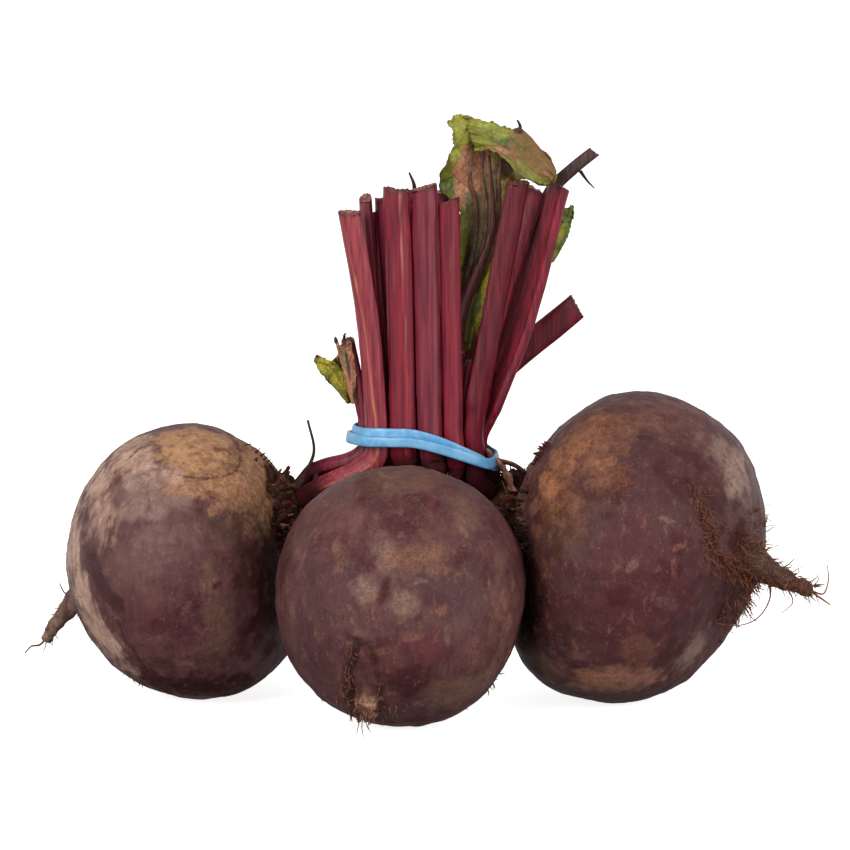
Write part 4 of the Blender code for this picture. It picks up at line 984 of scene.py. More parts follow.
def root_masks(name, root, points, normals):
    """Colour masks of a skin, and how far it stands out at each point."""
    out = unit(points - np.array(root["middle"]))
    axis, first, second = globe_frame(root)
    pixels = to_pixels(points)
    facing = normals @ camera_frame()[3] < SEEN_MARK
    LANDING[name] = (points, normals, pixels, facing)
    seed = root["seed"]
    edge = 0.6 * fractal(points, 6.0, seed + 3) + 0.7 * fractal(points, 2.2, seed + 4, 3)
    warp = np.stack([fractal(points, 4.5, seed + 31 + k) for k in range(3)], axis=1) * 1.1
    near_crown = np.linalg.norm(points - crown_middle(root)[0], axis=1)
    beside = np.min([np.linalg.norm(points - other["middle"], axis=1) - other["across"]
                     for key, other in ROOTS.items() if key != name], axis=0)
    tail_line = root_line(root)[::4, :3]
    to_tail = np.min([np.linalg.norm(points - p, axis=1) for p in tail_line], axis=0)
    latitude = np.stack((points @ axis, out @ first * 3.0, out @ second * 3.0), axis=1)
    turn = np.stack((out @ first * 26.0, out @ second * 26.0, (points @ axis) * 0.15), axis=1)
    rings = noise(latitude, 1.3, seed + 5)
    streaks = fractal(turn, 2.2, seed + 9, 2)
    masks = {row[0]: np.zeros(len(points)) for row in SKINS[name][1:]}
    for kind, rows in MARKS[name].items():
        masks[kind] = mark_mask(points, kind, rows, pixels, facing, edge, warp)
    masks["scar_and_shade"] = scar_and_shade_mask(points + 0.5 * warp, SCAR_AND_SHADE_LINES[name], pixels, facing)
    blotch = fractal(points, 16.0, seed + 1)
    high = ease((points[:, 2] - 42.0) / 16.0)
    shoulder = ease((32.0 - near_crown + 6.0 * edge) / 16.0)
    unseen = ease((out[:, 1] - 0.1) / 0.4)

    def add(kind, amount):
        masks[kind] = np.maximum(masks[kind], amount)

    add("gold", 0.9 * shoulder * high)
    add("olive", 0.8 * shoulder * (1.0 - high))
    add("gold", 0.6 * unseen * ease((blotch + 0.2) / 1.0))
    add("bloom_and_sheen", 0.5 * unseen * ease(-blotch / 1.0))
    # Painted shade where the skin nears a neighbouring root, darkest close to it.
    add("deep", 0.8 * ease((10.0 - beside) / 9.0))
    add("painted_shade", 1.1 * ease((7.0 - beside + edge) / 7.0))
    add("bloom_and_sheen", 0.35 * ease((blotch + 0.5 * streaks - 0.35) / 0.5))
    add("deep", 0.4 * ease((0.4 * streaks - blotch - 0.3) / 0.5))
    # Round the crown: dark crown skin and painted shade under the stalks.
    add("deep", 0.95 * ease((17.5 - near_crown + 3.0 * edge) / 5.0))
    add("painted_shade", 0.8 * ease((15.5 - near_crown + 3.0 * edge) / 4.0))
    add("red", 0.4 * ease((noise(points, 22.0, seed + 2) - 0.1) / 0.4))
    add("tail", 1.1 * ease((root["dry"] - to_tail + 1.5 * edge) / 3.0))
    net = cracks(points, 2.6, seed + 11)
    cork = cracks(points, 1.7, seed + 13)
    dry = np.maximum(masks["gold"], masks["tan"])
    relief = 0.35 * fractal(points, 14.0, seed + 15, 3) + 0.12 * streaks
    relief += 0.10 * rings * (0.4 + dry + shoulder) + 0.08 * fractal(points, 2.2, seed + 21, 3)
    relief += 0.22 * masks["gold"] * (0.6 - cork) + 0.12 * masks["bloom_and_sheen"] * (0.5 - net)
    relief -= 0.4 * masks["scar_and_shade"]
    rough_crown = ease((17.5 - near_crown) / 5.0)
    relief += rough_crown * (0.9 * fractal(points, 3.0, seed + 17, 3) + 0.5 * rings)
    furrows = fractal(points * (0.4, 1.0, 1.0), 1.6, seed + 19, 3)
    relief += ease((root["dry"] - to_tail) / 4.0) * (0.5 * furrows + 0.35 * rings)
    return masks, relief


def make_root(name):
    """One root's skin, with its crown and tail."""
    root = ROOTS[name]
    line = root_line(root)
    shapes = [globe_shell(root), crown_shell(root), tube(line[:, :3], line[:, 3], 28)]
    mesh = remeshed("skin_" + name, shapes)
    points, normals = mesh_arrays(mesh)
    points = reshaped(name, points, normals)
    masks, relief = root_masks(name, root, points, normals)
    points = points + normals * relief[:, None]
    points[:, 2] = np.maximum(points[:, 2], 0.0)
    mesh.vertices.foreach_set("co", to_frame(points).ravel())
    mesh.shade_smooth()
    set_masks(mesh, masks)
    mesh.materials.clear()
    mesh.materials.append(skin_material(name))
    settle(linked("skin_" + name, mesh), ["root_" + name], "root_skin")


# Rootlets and crown scraps


def round_about(ahead, turn):
    """The direction across another one, at an angle round it."""
    side = unit(np.cross(ahead, (0.3, 0.5, 0.8)))
    return math.cos(turn) * side + math.sin(turn) * np.cross(ahead, side)


def on_globe(root, way):
    """The point of a globe's skin seen that way from its middle."""
    axis, _, _ = globe_frame(root)
    way = unit(way)
    reach = np.linspace(0.5, 1.2, 141) * root["across"]
    inside = globe_radius(root, reach * (way @ axis)) > reach * np.sqrt(1.0 - (way @ axis) ** 2)
    return uneven(root, np.array(root["middle"]) + reach[inside][-1:, None] * way)[0]


# A rootlet: drawn steps, points of its smoothed line, how much it sinks at a step, the lowest
# that its line goes and the share of its radius at its tip.
HAIR = dict(steps=9, points=16, sink=(0.0, 0.0, -0.03), floor=0.3, tip=0.35)


def hair(start, lean, length, radius, draw, curl=0.5):
    """A fine rootlet that wanders from its start."""
    line = [np.asarray(start, float)]
    way = unit(lean)
    for _ in range(HAIR["steps"]):
        way = unit(way + curl * 0.35 * draw.normal(size=3) + np.array(HAIR["sink"]))
        line.append(line[-1] + way * length / HAIR["steps"])
    line = smooth_line(line, HAIR["points"])
    line[:, 2] = np.maximum(line[:, 2], HAIR["floor"])
    return tube(line, np.linspace(radius, HAIR["tip"] * radius, HAIR["points"]), 5)


# Rootlets by root: how many stand round the tail's base, how far from its middle and how long
# they are, then how many are along it, at its tip and all over the skin.
HAIRS = {
    "left": dict(ring=14, spread=(0.10, 0.26), length=(1.5, 4.5), tail=10, tip=5, skin=26),
    "front": dict(ring=26, spread=(0.08, 0.30), length=(1.5, 4.0), tail=16, tip=9, skin=22),
    "right": dict(ring=90, spread=(0.12, 0.42), length=(2.0, 6.0), tail=170, tip=14, skin=26),
}
# Stretches of the tail that carry rootlets: their count's name, first and last step, and the
# longest rootlet.
TAIL_HAIRS = (("tail", 22, 58, 4.5), ("tip", 55, 59, 5.0))
# Rootlets that the photograph shows one by one, by root: points, and radius.
THREADS = {
    "left": ((((-107.6, 14.2, 16.4), (-110.6, 13.6, 12.6), (-112.6, 13.2, 12.4),
               (-114.6, 13.0, 10.4)), 0.5),
             (((-98.0, 16.2, 28.4), (-103.0, 15.2, 27.4), (-104.6, 14.6, 30.4)), 0.35)),
    "front": ((((-17.0, -55.0, 7.4), (-17.8, -56.4, 4.4), (-18.2, -56.8, 2.4)), 0.2),
              (((-16.0, -54.6, 7.4), (-15.4, -56.4, 4.4), (-14.4, -56.8, 2.8)), 0.18),
              (((-16.4, -54.8, 7.4), (-16.8, -56.6, 4.2), (-16.4, -56.9, 1.6)), 0.2)),
    "right": ((((105.8, -23.5, 35.4), (109.2, -25.2, 34.6), (110.6, -24.8, 38.0),
                (110.4, -24.2, 42.4)), 0.28),
              (((104.4, -23.0, 36.0), (108.6, -25.4, 33.4), (111.2, -25.6, 31.6)), 0.45),
              (((94.0, -18.0, 39.6), (95.0, -22.0, 33.0), (90.6, -24.0, 27.0), (86.0, -24.4, 25.6),
                (80.6, -23.6, 26.0)), 0.3),
              (((98.0, -20.0, 38.0), (101.0, -23.0, 31.5), (98.0, -24.0, 29.0)), 0.25)),
}
# Which way the rootlets of a trail lean.
TRAIL_LEAN = np.array((0.7, -0.2, -0.9))


def make_hairs(name):
    """A root's rootlets: round its tail, along it, at its tip and scattered on the skin."""
    root = ROOTS[name]
    plan = HAIRS[name]
    draw = np.random.default_rng(SEED + 5 + len(name))
    middle = np.array(root["middle"])
    line = root_line(root)
    ahead = unit(np.array(root["tail"])[1, :3] - middle)
    shapes = []
    for _ in range(plan["ring"]):
        turn = draw.uniform(0.0, 2.0 * np.pi)
        out = unit(ahead + draw.uniform(*plan["spread"]) * round_about(ahead, turn))
        aside = draw.uniform(0.3, 1.4) * round_about(ahead, turn)
        lean = unit(out + aside + draw.normal(size=3) * 0.35)
        start = on_globe(root, out) - 0.4 * out
        shapes.append(hair(start, lean, draw.uniform(*plan["length"]), draw.uniform(0.12, 0.26), draw))
    for stretch, low, high, reach in TAIL_HAIRS:
        for _ in range(plan[stretch]):
            i = int(draw.integers(low, high))
            way = unit(line[i, :3] - line[i - 1, :3])
            side = round_about(way, draw.uniform(0.0, 2.0 * np.pi))
            start = line[i, :3] + side * 0.8 * line[i, 3]
            shapes.append(hair(start, side + 0.9 * way, draw.uniform(1.0, reach),
                               draw.uniform(0.12, 0.28), draw, 0.7))
    for _ in range(plan["skin"]):
        out = unit(draw.normal(size=3))
        start = on_globe(root, out) - 0.3 * out
        if start[2] > 4.0:
            lean = out + draw.normal(size=3) * 0.9
            shapes.append(hair(start, lean, draw.uniform(0.6, 1.8), 0.14, draw))
    for points, radius in THREADS[name]:
        shapes.append(strand(points, 30, (radius, 0.4 * radius), 6))
    for start, out, length, radius in trail_spots(name, "hair", draw):
        lean = out * draw.uniform(0.1, 0.6) + TRAIL_LEAN + 0.55 * draw.normal(size=3)
        shapes.append(hair(start - 0.3 * out, unit(lean), length, radius, draw))
    points, faces = gather(shapes)
    points[:, 2] = np.maximum(points[:, 2], 0.1)
    add_piece("rootlets_" + name, points, faces, ROOTLET_MATERIALS[name])


def trail_spots(name, kind, draw):
    """Places on a skin along its trails of one kind: point, outward way, length and radius."""
    points, normals, pixels, facing = LANDING[name]
    steps = 60
    for what, count, scatter, lengths, radii, stops in TRAILS[name]:
        if what != kind:
            continue
        trail = smooth_line(np.array([(*p, 0.0) for p in stops], float), steps)[:, :2]
        for _ in range(count):
            spot = trail[int(draw.integers(steps))] + draw.normal(size=2) * scatter
            i = seen_at(spot, pixels, facing)
            yield points[i], normals[i], draw.uniform(*lengths), draw.uniform(*radii)


def scrap(start, lean, length, width, draw):
    """A torn or withered stalk base: a tapered, flattened, bent stub with a ragged end."""
    side = unit(np.cross(lean, draw.normal(size=3)))
    bend = 0.35 * length * draw.uniform(-1.0, 1.0) * side
    steps = 10
    middle = start + 0.5 * length * lean + 0.4 * bend
    line = smooth_line((start, middle, start + length * lean + bend), steps)
    radii = width * np.linspace(1.0, draw.uniform(0.1, 0.5), steps)
    radii = radii * (1.0 + 0.15 * draw.normal(size=steps))
    points, faces = tube(line, radii, 9, draw.uniform(0.25, 0.6))
    torn = 0.2 * width * noise(points, 0.9, 21)
    return points + torn[:, None] * unit(points - line.mean(axis=0)), faces


# How many torn stubs are drawn round each crown. Those in a stalk's way are left out.
SCRAPS = {"left": 130, "front": 60, "right": 170}


def make_scraps(name, aims):
    """The ragged ring of old stalk bases round a crown."""
    root = ROOTS[name]
    draw = np.random.default_rng(SEED + 31 + len(name))
    middle, ahead = crown_middle(root)
    shapes = []
    for _ in range(SCRAPS[name]):
        up = draw.uniform(-0.15, 1.0)
        out = unit(up * ahead + round_about(ahead, draw.uniform(0.0, 2.0 * np.pi)))
        lean = unit(out + 0.6 * ahead + 0.4 * draw.normal(size=3))
        if (aims @ out).max() > 0.93:
            continue
        start = middle + out * (CROWN_RADIUS - 1.2)
        shapes.append(scrap(start, lean, draw.uniform(1.8, 5.6), draw.uniform(0.4, 1.5), draw))
    for start, out, length, radius in trail_spots(name, "scrap", draw):
        lean = unit(out + 0.7 * ahead + 0.6 * draw.normal(size=3))
        shapes.append(scrap(start - 0.4 * out, lean, length, radius, draw))
    points, faces = gather(shapes)
    points[:, 2] = np.maximum(points[:, 2], 0.1)
    hue = np.repeat(draw.uniform(0.0, 1.0, len(shapes)), [len(some) for some, _ in shapes])
    add_piece("crown_scraps_" + name, points, faces, SCRAP_MATERIAL, {"hue": hue})


# Stalks


def tie_height(x):
    """Height of the band's middle line across the bunch: level, then falling to the right."""
    fall = np.clip((np.asarray(x, float) - TIE_DROP["start"]) / TIE_DROP["run"], 0.0, 1.0)
    return TIE["height"] - TIE_DROP["depth"] * fall ** TIE_DROP["power"]


def seat_directions():
    """Where each stalk leaves its crown, spread so that the bases clear one another."""
    seats = {}
    for key, root in ROOTS.items():
        names = [n for n, row in STALKS.items() if row[0] == key]
        middle, ahead = crown_middle(root)
        slots = np.array([(*STALKS[n][1], tie_height(STALKS[n][1][0])) for n in names])
        aims = unit(unit(slots - middle) + 0.5 * ahead)
        need = np.array([(STALKS[n][3] * 0.37 + STALKS[n][4] * 0.45) for n in names])
        need = (need[:, None] + need[None] + 2.0 * GAP) * 0.5 / (CROWN_RADIUS + GAP)
        not_itself = 9.0 * np.eye(len(names))
        for _ in range(SEAT_ROUNDS):
            angle = np.arccos(np.clip(aims @ aims.T, -1.0, 1.0)) + not_itself
            push = np.clip(need - angle, 0.0, None)[..., None]
            away = unit(aims[:, None] - aims[None])
            steep = np.clip(CAP_COSINE - aims @ ahead, 0.0, None)[:, None]
            aims = unit(aims + 0.25 * (push * away).sum(axis=1) + steep * ahead)
        seats.update({n: (seat_point(root, middle, aim, 0.5 * STALKS[n][3]), aim)
                      for n, aim in zip(names, aims)})
    return seats


def seat_point(root, middle, aim, reach):
    """Where a stalk's end stands over the crown, clear of the ball and the globe."""
    axis, _, _ = globe_frame(root)
    rim = np.array([reach * round_about(aim, turn) for turn in np.linspace(0.0, 2.0 * np.pi, 13)])
    for lift in np.arange(0.0, 12.0, 0.25):
        seat = middle + aim * (CROWN_RADIUS + GAP + lift)
        offset = seat + rim - root["middle"]
        along = offset @ axis
        beside = np.linalg.norm(offset - np.outer(along, axis), axis=1)
        if (beside > globe_radius(root, along) * SEAT_MARGIN).all():
            break
    return seat


def first_routes(seats):
    """Centre lines from crown to cut end, before they are pushed apart."""
    routes = {}
    for name, row in STALKS.items():
        slot, end = row[1:3]
        seat, aim = seats[name]
        level = tie_height(slot[0])
        low = np.array((*slot, level - TIE["zone"]))
        high = np.array((*slot, level + TIE["zone"]))
        reach = 0.2 * np.linalg.norm(low - seat)
        below = np.array((seat, seat + aim * reach, low, high))
        knots = run_of(below)
        lower = curve(knots, below, np.linspace(0.0, knots[2], STEPS_BELOW, endpoint=False))
        tied = low + np.linspace(0.0, 1.0, STEPS_TIE)[:, None] * (high - low)
        above = np.array((high, *BENDS.get(name, ()), end))
        knots = run_of(above)
        upper = curve(knots, above, np.linspace(0.0, knots[-1], STEPS_ABOVE + 1)[1:])
        routes[name] = np.concatenate((lower, tied, upper))
    return routes


def facing_of(routes):
    """The way each stalk's rounded back faces, along its route: outwards at the tie."""
    faces = {}
    centre = np.array((*TIE["centre"], 0.0))
    half = np.array((*TIE["half"], 1.0))
    tied = STEPS_BELOW + 1
    for name, route in routes.items():
        ahead = unit(np.gradient(route, axis=0))
        outward = (np.array((*STALKS[name][1], 0.0)) - centre) / half**2
        face = np.zeros_like(route)
        face[tied] = unit(outward - (outward @ ahead[tied]) * ahead[tied])
        for order in (range(tied + 1, len(route)), range(tied - 1, -1, -1)):
            last = face[tied]
            for i in order:
                last = unit(last - (last @ ahead[i]) * ahead[i])
                face[i] = last
        faces[name] = (face, np.cross(ahead, face))
    return faces


def stalk_sizes(name):
    """Half width and half thickness along a stalk, narrower at the crown and near the cut."""
    width, thick, left = STALKS[name][3:6]
    step = np.arange(STEPS_BELOW + STEPS_TIE + STEPS_ABOVE)
    grown = 0.84 + 0.16 * ease(step / STEPS_BELOW)
    taper = 1.0 - (1.0 - left) * np.clip((step - STEPS_BELOW - STEPS_TIE) / STEPS_ABOVE, 0.0, 1.0)
    return 0.5 * width * grown * taper, 0.5 * thick * (0.5 + 0.5 * grown) * taper


def spread(routes):
    """Push neighbouring stalks apart until their sections clear one another."""
    names = list(routes)
    points = np.array([routes[n] for n in names])
    halves = np.array([stalk_sizes(n) for n in names])
    count, steps, _ = points.shape
    hold = np.clip((np.arange(steps) - 2.0) / 3.0, 0.0, 1.0)[:, None]
    hold[-1] = 0.5
    for _ in range(SPREAD["rounds"]):
        frames = facing_of(dict(zip(names, points)))
        face = np.array([frames[n][0] for n in names])
        wide = np.array([frames[n][1] for n in names])
        ahead = unit(np.gradient(points, axis=1))
        move = np.zeros_like(points)
        for i in range(count):
            for j in range(count):
                if i == j:
                    continue
                offset = points[i][:, None] - points[j][None]
                near = np.argmin((offset**2).sum(-1), axis=1)
                offset = offset[np.arange(steps), near]
                slide = (offset * ahead[i]).sum(-1)
                away = offset - slide[:, None] * ahead[i]
                distance = np.linalg.norm(away, axis=1)
                way = away / np.maximum(distance, 1e-6)[:, None]
                need = SPREAD["gap"]
                for k, at in ((i, np.arange(steps)), (j, near)):
                    need = need + np.hypot((way * wide[k][at]).sum(-1) * halves[k][0][at],
                                           (way * face[k][at]).sum(-1) * halves[k][1][at])
                push = np.clip(need - distance, 0.0, SPREAD["most"])
                push = np.where(np.abs(slide) < SPREAD["reach"], push, 0.0)
                move[i] += SPREAD["share"] * push[:, None] * way
        for _ in range(2):
            move[:, 1:-1] = 0.25 * move[:, :-2] + 0.5 * move[:, 1:-1] + 0.25 * move[:, 2:]
        points = points + move * hold
    return dict(zip(names, points))


def section(turn):
    """Depth of a stalk's section: a rounded back and a flatter front with a shallow channel."""
    return np.where(np.sin(turn) > 0.0, np.sin(turn), 0.72 * np.sin(turn) + 0.2 * np.sin(turn) ** 4)


def stalk_rings(route, frame_of, halves, sides, keep):
    """Sections of a stalk at some of its stations."""
    turn = 2.0 * np.pi * (np.arange(sides, 0, -1) - 0.5) / sides
    face, wide = frame_of
    rings = (route[:, None] + (halves[0][:, None] * np.cos(turn))[..., None] * wide[:, None]
             + (halves[1][:, None] * section(turn))[..., None] * face[:, None])
    return rings[keep]


STALK_FINE = dict(rings=120, sides=44, ribs=9, rib_height=0.015)
# Rings of a cut end from its rim in: their share of the section, and how far they stand out.
CUT_RINGS = ((0.94, 0.16), (0.84, 0.05), (0.6, -0.2), (0.3, -0.35), (0.04, -0.4))
# Pale or golden streaks down a stalk: where round it at the tie and at the top (degrees, 90 faces
# out), width, strength.
STREAKS = {
    "stalk_left_1": ((66, 112, 9, 0.85), (100, 140, 18, 0.3)),
    "stalk_left_2": ((120, 120, 14, 0.3),),
    "stalk_left_3": ((100, 100, 16, 0.35),),
    "stalk_front_1": ((62, 70, 8, 0.7), (100, 110, 22, 0.3)),
    "stalk_front_2": ((60, 60, 14, 0.2),),
    "stalk_front_3": ((100, 100, 26, 0.3),),
    "stalk_right_2": ((30, 30, 18, 0.6), (100, 100, 22, 0.3)),
    "stalk_right_3": ((40, 40, 16, 0.6),),
    "stalk_right_4": ((30, 30, 20, 0.5),),
    "stalk_leafy": ((60, 60, 26, 0.6),),
    "stalk_broken": ((90, 90, 30, 0.5),),
}


def make_stalk(name, route, frame_of, material, order):
    """One stalk: ribbed, streaked, slightly uneven, with a slanted and dished cut end."""
    rings, sides = STALK_FINE["rings"], STALK_FINE["sides"]
    knots = run_of(route)
    at = np.linspace(0.0, knots[-1], rings)
    line = curve(knots, route, at)
    face = unit(curve(knots, frame_of[0], at))
    wide = unit(curve(knots, frame_of[1], at))
    half = [np.interp(at, knots, h) for h in stalk_sizes(name)]
    turn = 2.0 * np.pi * (np.arange(sides, 0, -1) - 0.5) / sides
    above = ease((at - knots[STEPS_BELOW + STEPS_TIE]) / 4.0)
    half[0] = half[0] * (1.0 + (FULLER.get(name, 1.0) - 1.0) * above)
    left = 1.0 - (1.0 - ENDS.get(name, 1.0)) * ease((at / knots[-1] - 0.6) / 0.4)
    half = [h * left for h in half]
    grid = np.stack(np.broadcast_arrays(2.2 * np.cos(turn)[None], 2.2 * np.sin(turn)[None],
                                        at[:, None] * 0.12), axis=-1)
    ribs = np.cos(STALK_FINE["ribs"] * turn + 0.8 * order)[None] + 0.9 * fractal(grid, 0.7, order, 3)
    swell = 1.0 + STALK_FINE["rib_height"] * ribs
    swell = swell + 0.03 * noise(grid * (1, 1, 1.6), 1.6, order + 4)
    body = (line[:, None] + (half[0][:, None] * np.cos(turn) * swell)[..., None] * wide[:, None]
            + (half[1][:, None] * section(turn) * swell)[..., None] * face[:, None])
    ahead = unit(line[-1] - line[-2])
    draw = np.random.default_rng(SEED + 100 + order)
    slant = draw.uniform(-0.28, 0.28, 2)
    offset = body[-1] - line[-1]
    rise = slant[0] * offset @ wide[-1] + slant[1] * offset @ face[-1]
    rise = rise + 0.16 * draw.normal(size=sides)
    body[-1] = body[-1] + rise[:, None] * ahead
    caps = [line[-1] + offset * shrink + (rise * shrink + dish)[:, None] * ahead
            for shrink, dish in CUT_RINGS]
    body = np.concatenate((body, caps))
    points, faces = loft(body)
    cut = np.zeros((len(body), sides))
    cut[rings:] = 1.0
    rim = np.zeros_like(cut)
    rim[rings - 1:rings + 1] = 0.85
    rim[rings - 2] = 0.4
    streak = np.zeros_like(cut)
    wander = 6.0 * noise(grid * (0, 0, 1), 0.9, order + 9)[:, 0]
    up = np.clip((at - knots[STEPS_BELOW]) / (knots[-1] - knots[STEPS_BELOW]), 0.0, 1.0)
    for low, high, width, strength in STREAKS.get(name, ()):
        off = np.degrees(turn)[None] - (low + (high - low) * up + wander)[:, None]
        off = (off + 180.0) % 360.0 - 180.0
        streak[:rings] = np.maximum(streak[:rings], strength * np.exp(-((off / width) ** 2)))
    foot = np.zeros_like(cut)
    foot[:rings] = (1.0 - ease((at - 2.0) / ROOTS[STALKS[name][0]]["foot"]))[:, None]
    streak[:rings] *= 0.45 + 0.55 * ease(0.5 + 1.2 * noise(grid * (0, 0, 1), 1.3, order + 12))
    if name == "stalk_withered":
        streak[:rings] = (1.0 - ease((at / knots[-1] - 0.62) / 0.2))[:, None] * 1.2
    if name in ENDS:
        cut *= 0.0
    masks = {"cut": cut.ravel(), "rim": rim.ravel(), "streak": streak.ravel(), "foot": foot.ravel()}
    slot = "withered" if name == "stalk_withered" else "petiole"
    add_piece(name.replace("stalk", "petiole"), points, faces, material, masks, [name], slot)


def make_stalks(seats):
    """All cut stalks. Gives back their routes and frames."""
    routes = spread(first_routes(seats))
    frames = facing_of(routes)
    materials = {tone: stalk_material(tone) for tone in TONES}
    for order, (name, route) in enumerate(routes.items()):
        make_stalk(name, route, frames[name], materials[STALKS[name][6]], order)
    return routes, frames


# Rubber band


def band_lift(turn):
    """Height of the doubled band above or below its middle line, apart at the front too."""
    reach = 1.75 + 0.5 * np.cos(turn) + 0.4 * np.sin(turn)
    apart = 0.95 * np.clip(-np.sin(turn), 0.0, 1.0)
    return reach * np.cos(0.5 * turn - np.pi / 4.0) + apart * np.sin(0.5 * turn - np.pi / 4.0)


def band_outline(cloud, steps):
    """Middle line of the band's closed double loop round the stalks' points."""
    turns = np.linspace(0.5 * np.pi, 4.5 * np.pi, BAND["places"] + 1)[:-1]
    flat = np.stack((np.cos(turns), np.sin(turns)), axis=1)
    lift = band_lift(turns)
    middle = tie_height(cloud[:, 0])
    reach = np.empty(len(turns))
    for i, (way, up) in enumerate(zip(flat, lift)):
        near = np.abs(cloud[:, 2] - middle - up) < 0.5 * BAND["tall"] + 0.3
        reach[i] = (cloud[near][:, :2] @ way).max()
    n = BAND["blur"]
    blur = np.hanning(2 * n + 1) / np.hanning(2 * n + 1).sum()
    reach = np.convolve(np.concatenate((reach[-n:], reach, reach[:n])), blur, mode="valid")
    first, half, last = (ease((turns - k * np.pi) / 0.9 + 0.5) for k in (0.5, 2.5, 4.5))
    second = last * -1.0 + half + 1.0 - first
    reach = reach + BAND["gap"] + 0.5 * BAND["thick"] + 0.25 + (BAND["thick"] + 0.35) * second
    slope = np.gradient(np.concatenate((reach[-2:], reach, reach[:2])), turns[1] - turns[0])[2:-2]
    across = np.stack((-flat[:, 1], flat[:, 0]), axis=1)
    line = reach[:, None] * flat + slope[:, None] * across
    run = np.linalg.norm(np.roll(line, -1, axis=0) - line, axis=1)
    total = np.concatenate(([0.0], np.cumsum(run)))
    at = np.linspace(0.0, total[-1], steps, endpoint=False)
    loop = np.append(turns, turns[0] + 4.0 * np.pi)
    turn = np.interp(at, total, loop)
    place = np.stack([np.interp(at, total, np.append(line[:, k], line[0, k])) for k in (0, 1)],
                     axis=1)
    height = tie_height(place[:, 0]) + band_lift(turn)
    out = np.stack((np.cos(turn), np.sin(turn), np.zeros(steps)), axis=1)
    return np.column_stack((place, height)), out


def band_rings(line, out, sides):
    """Upright sections of the band, with rounded corners, gently twisted along it."""
    turn = -2.0 * np.pi * (np.arange(sides) + 0.5) / sides
    round_off = np.sign(np.cos(turn)) * np.abs(np.cos(turn)) ** 0.6
    upright = np.sign(np.sin(turn)) * np.abs(np.sin(turn)) ** 0.7
    count = len(line)
    pinch = 0.90 + 0.08 * np.sin(10.0 * np.pi * np.arange(count) / count)
    lean = 0.16 * np.sin(8.0 * np.pi * np.arange(count) / count + 0.7)
    wide = round_off * 0.5 * BAND["thick"]
    tall = upright * 0.5 * BAND["tall"]
    rings = line[:, None] + (wide[None] + lean[:, None] * tall[None])[..., None] * out[:, None]
    rings[..., 2] += pinch[:, None] * tall[None]
    return rings


def make_band(routes, frames):
    """The rubber band, wound twice round the stalks."""
    cloud = []
    sides = 20
    for name, route in routes.items():
        tied = slice(1, STEPS_BELOW + STEPS_TIE + 2)
        rings = stalk_rings(route, frames[name], stalk_sizes(name), sides, tied)
        fine = np.linspace(0.0, len(rings) - 1.0, 8 * len(rings))
        at = np.arange(len(rings))
        cloud.append(np.stack([[np.interp(fine, at, rings[:, k, c]) for c in range(3)]
                               for k in range(sides)]).transpose(0, 2, 1).reshape(-1, 3))
    line, out = band_outline(np.concatenate(cloud), BAND["steps"])
    rings = band_rings(line, out, BAND["sides"])
    points, faces = loft(rings, closed=True)
    # Painted shade: darker on the band's inner face, towards its right end and on its lower half.
    inside = ((rings - line[:, None]) * out[:, None]).sum(-1)
    shade = np.clip(-inside / BAND["thick"] + 0.3, 0.0, 1.0)
    shade = np.maximum(shade, 0.5 * ease((line[:, 0] - 8.0) / 10.0)[:, None]).ravel()
    edge = np.clip(2.0 * (line[:, None, 2] - rings[..., 2]) / BAND["tall"], 0.0, 1.0).ravel() ** 2
    masks = {"shade": shade, "edge": edge}
    add_piece("band", points, faces, rubber_material(), masks, ["rubber_band"], "rubber_band")


# Leaves


def leaf_grid(leaf, seed, route):
    """A blade's fine grid: a smooth sheet, rippled, with a torn edge."""
    rows = np.array(leaf["rows"])
    tied = STEPS_BELOW + STEPS_TIE
    for k in (0, 1):
        if route is not None:
            rows[..., k] += np.interp(rows[..., 2], route[tied:, 2], route[tied:, k])
    down = np.linspace(0.0, 1.0, leaf["size"][0])
    over = np.linspace(0.0, 1.0, leaf["size"][1])
    grid = np.stack([curve(np.linspace(0.0, 1.0, len(rows)), rows[:, k], down)
                     for k in range(rows.shape[1])], axis=1)
    grid = np.stack([curve(np.linspace(0.0, 1.0, rows.shape[1]), line, over) for line in grid])
    edge = np.abs(2.0 * over - 1.0)[None, :] ** 2
    top = np.clip(3.0 * down - 2.0, 0.0, 1.0)[:, None] ** 2
    wave = np.sin(2.0 * np.pi * leaf["waves"] * down[:, None] + np.sign(over - 0.5)[None] * 1.3)
    fold = np.sin(2.0 * np.pi * 2.5 * over[None, :])
    grid[..., 1] += leaf["ripple"] * (wave * edge + 0.7 * fold * top)
    place = np.stack(np.broadcast_arrays(40.0 * down[:, None], 9.0 * (over > 0.5), 0.0), axis=-1)
    teeth = 0.5 + 0.5 * fractal(place, 1.6, seed, 3)
    inward = unit(grid.mean(axis=1, keepdims=True) - grid)
    near_edge = ease((np.abs(2.0 * over - 1.0) - 0.86) / 0.14)[None]
    grid += (leaf["jag"] * teeth * near_edge)[..., None] * inward
    tip = np.stack((30.0 * over, 0 * over, 0 * over), axis=-1)
    ragged = 0.5 + 0.5 * fractal(tip, 1.5, seed + 2, 3)
    last = ease((down - 0.94) / 0.06)[:, None]
    grid[..., 2] -= 1.2 * leaf["jag"] * last * ragged[None]
    return grid, down, over


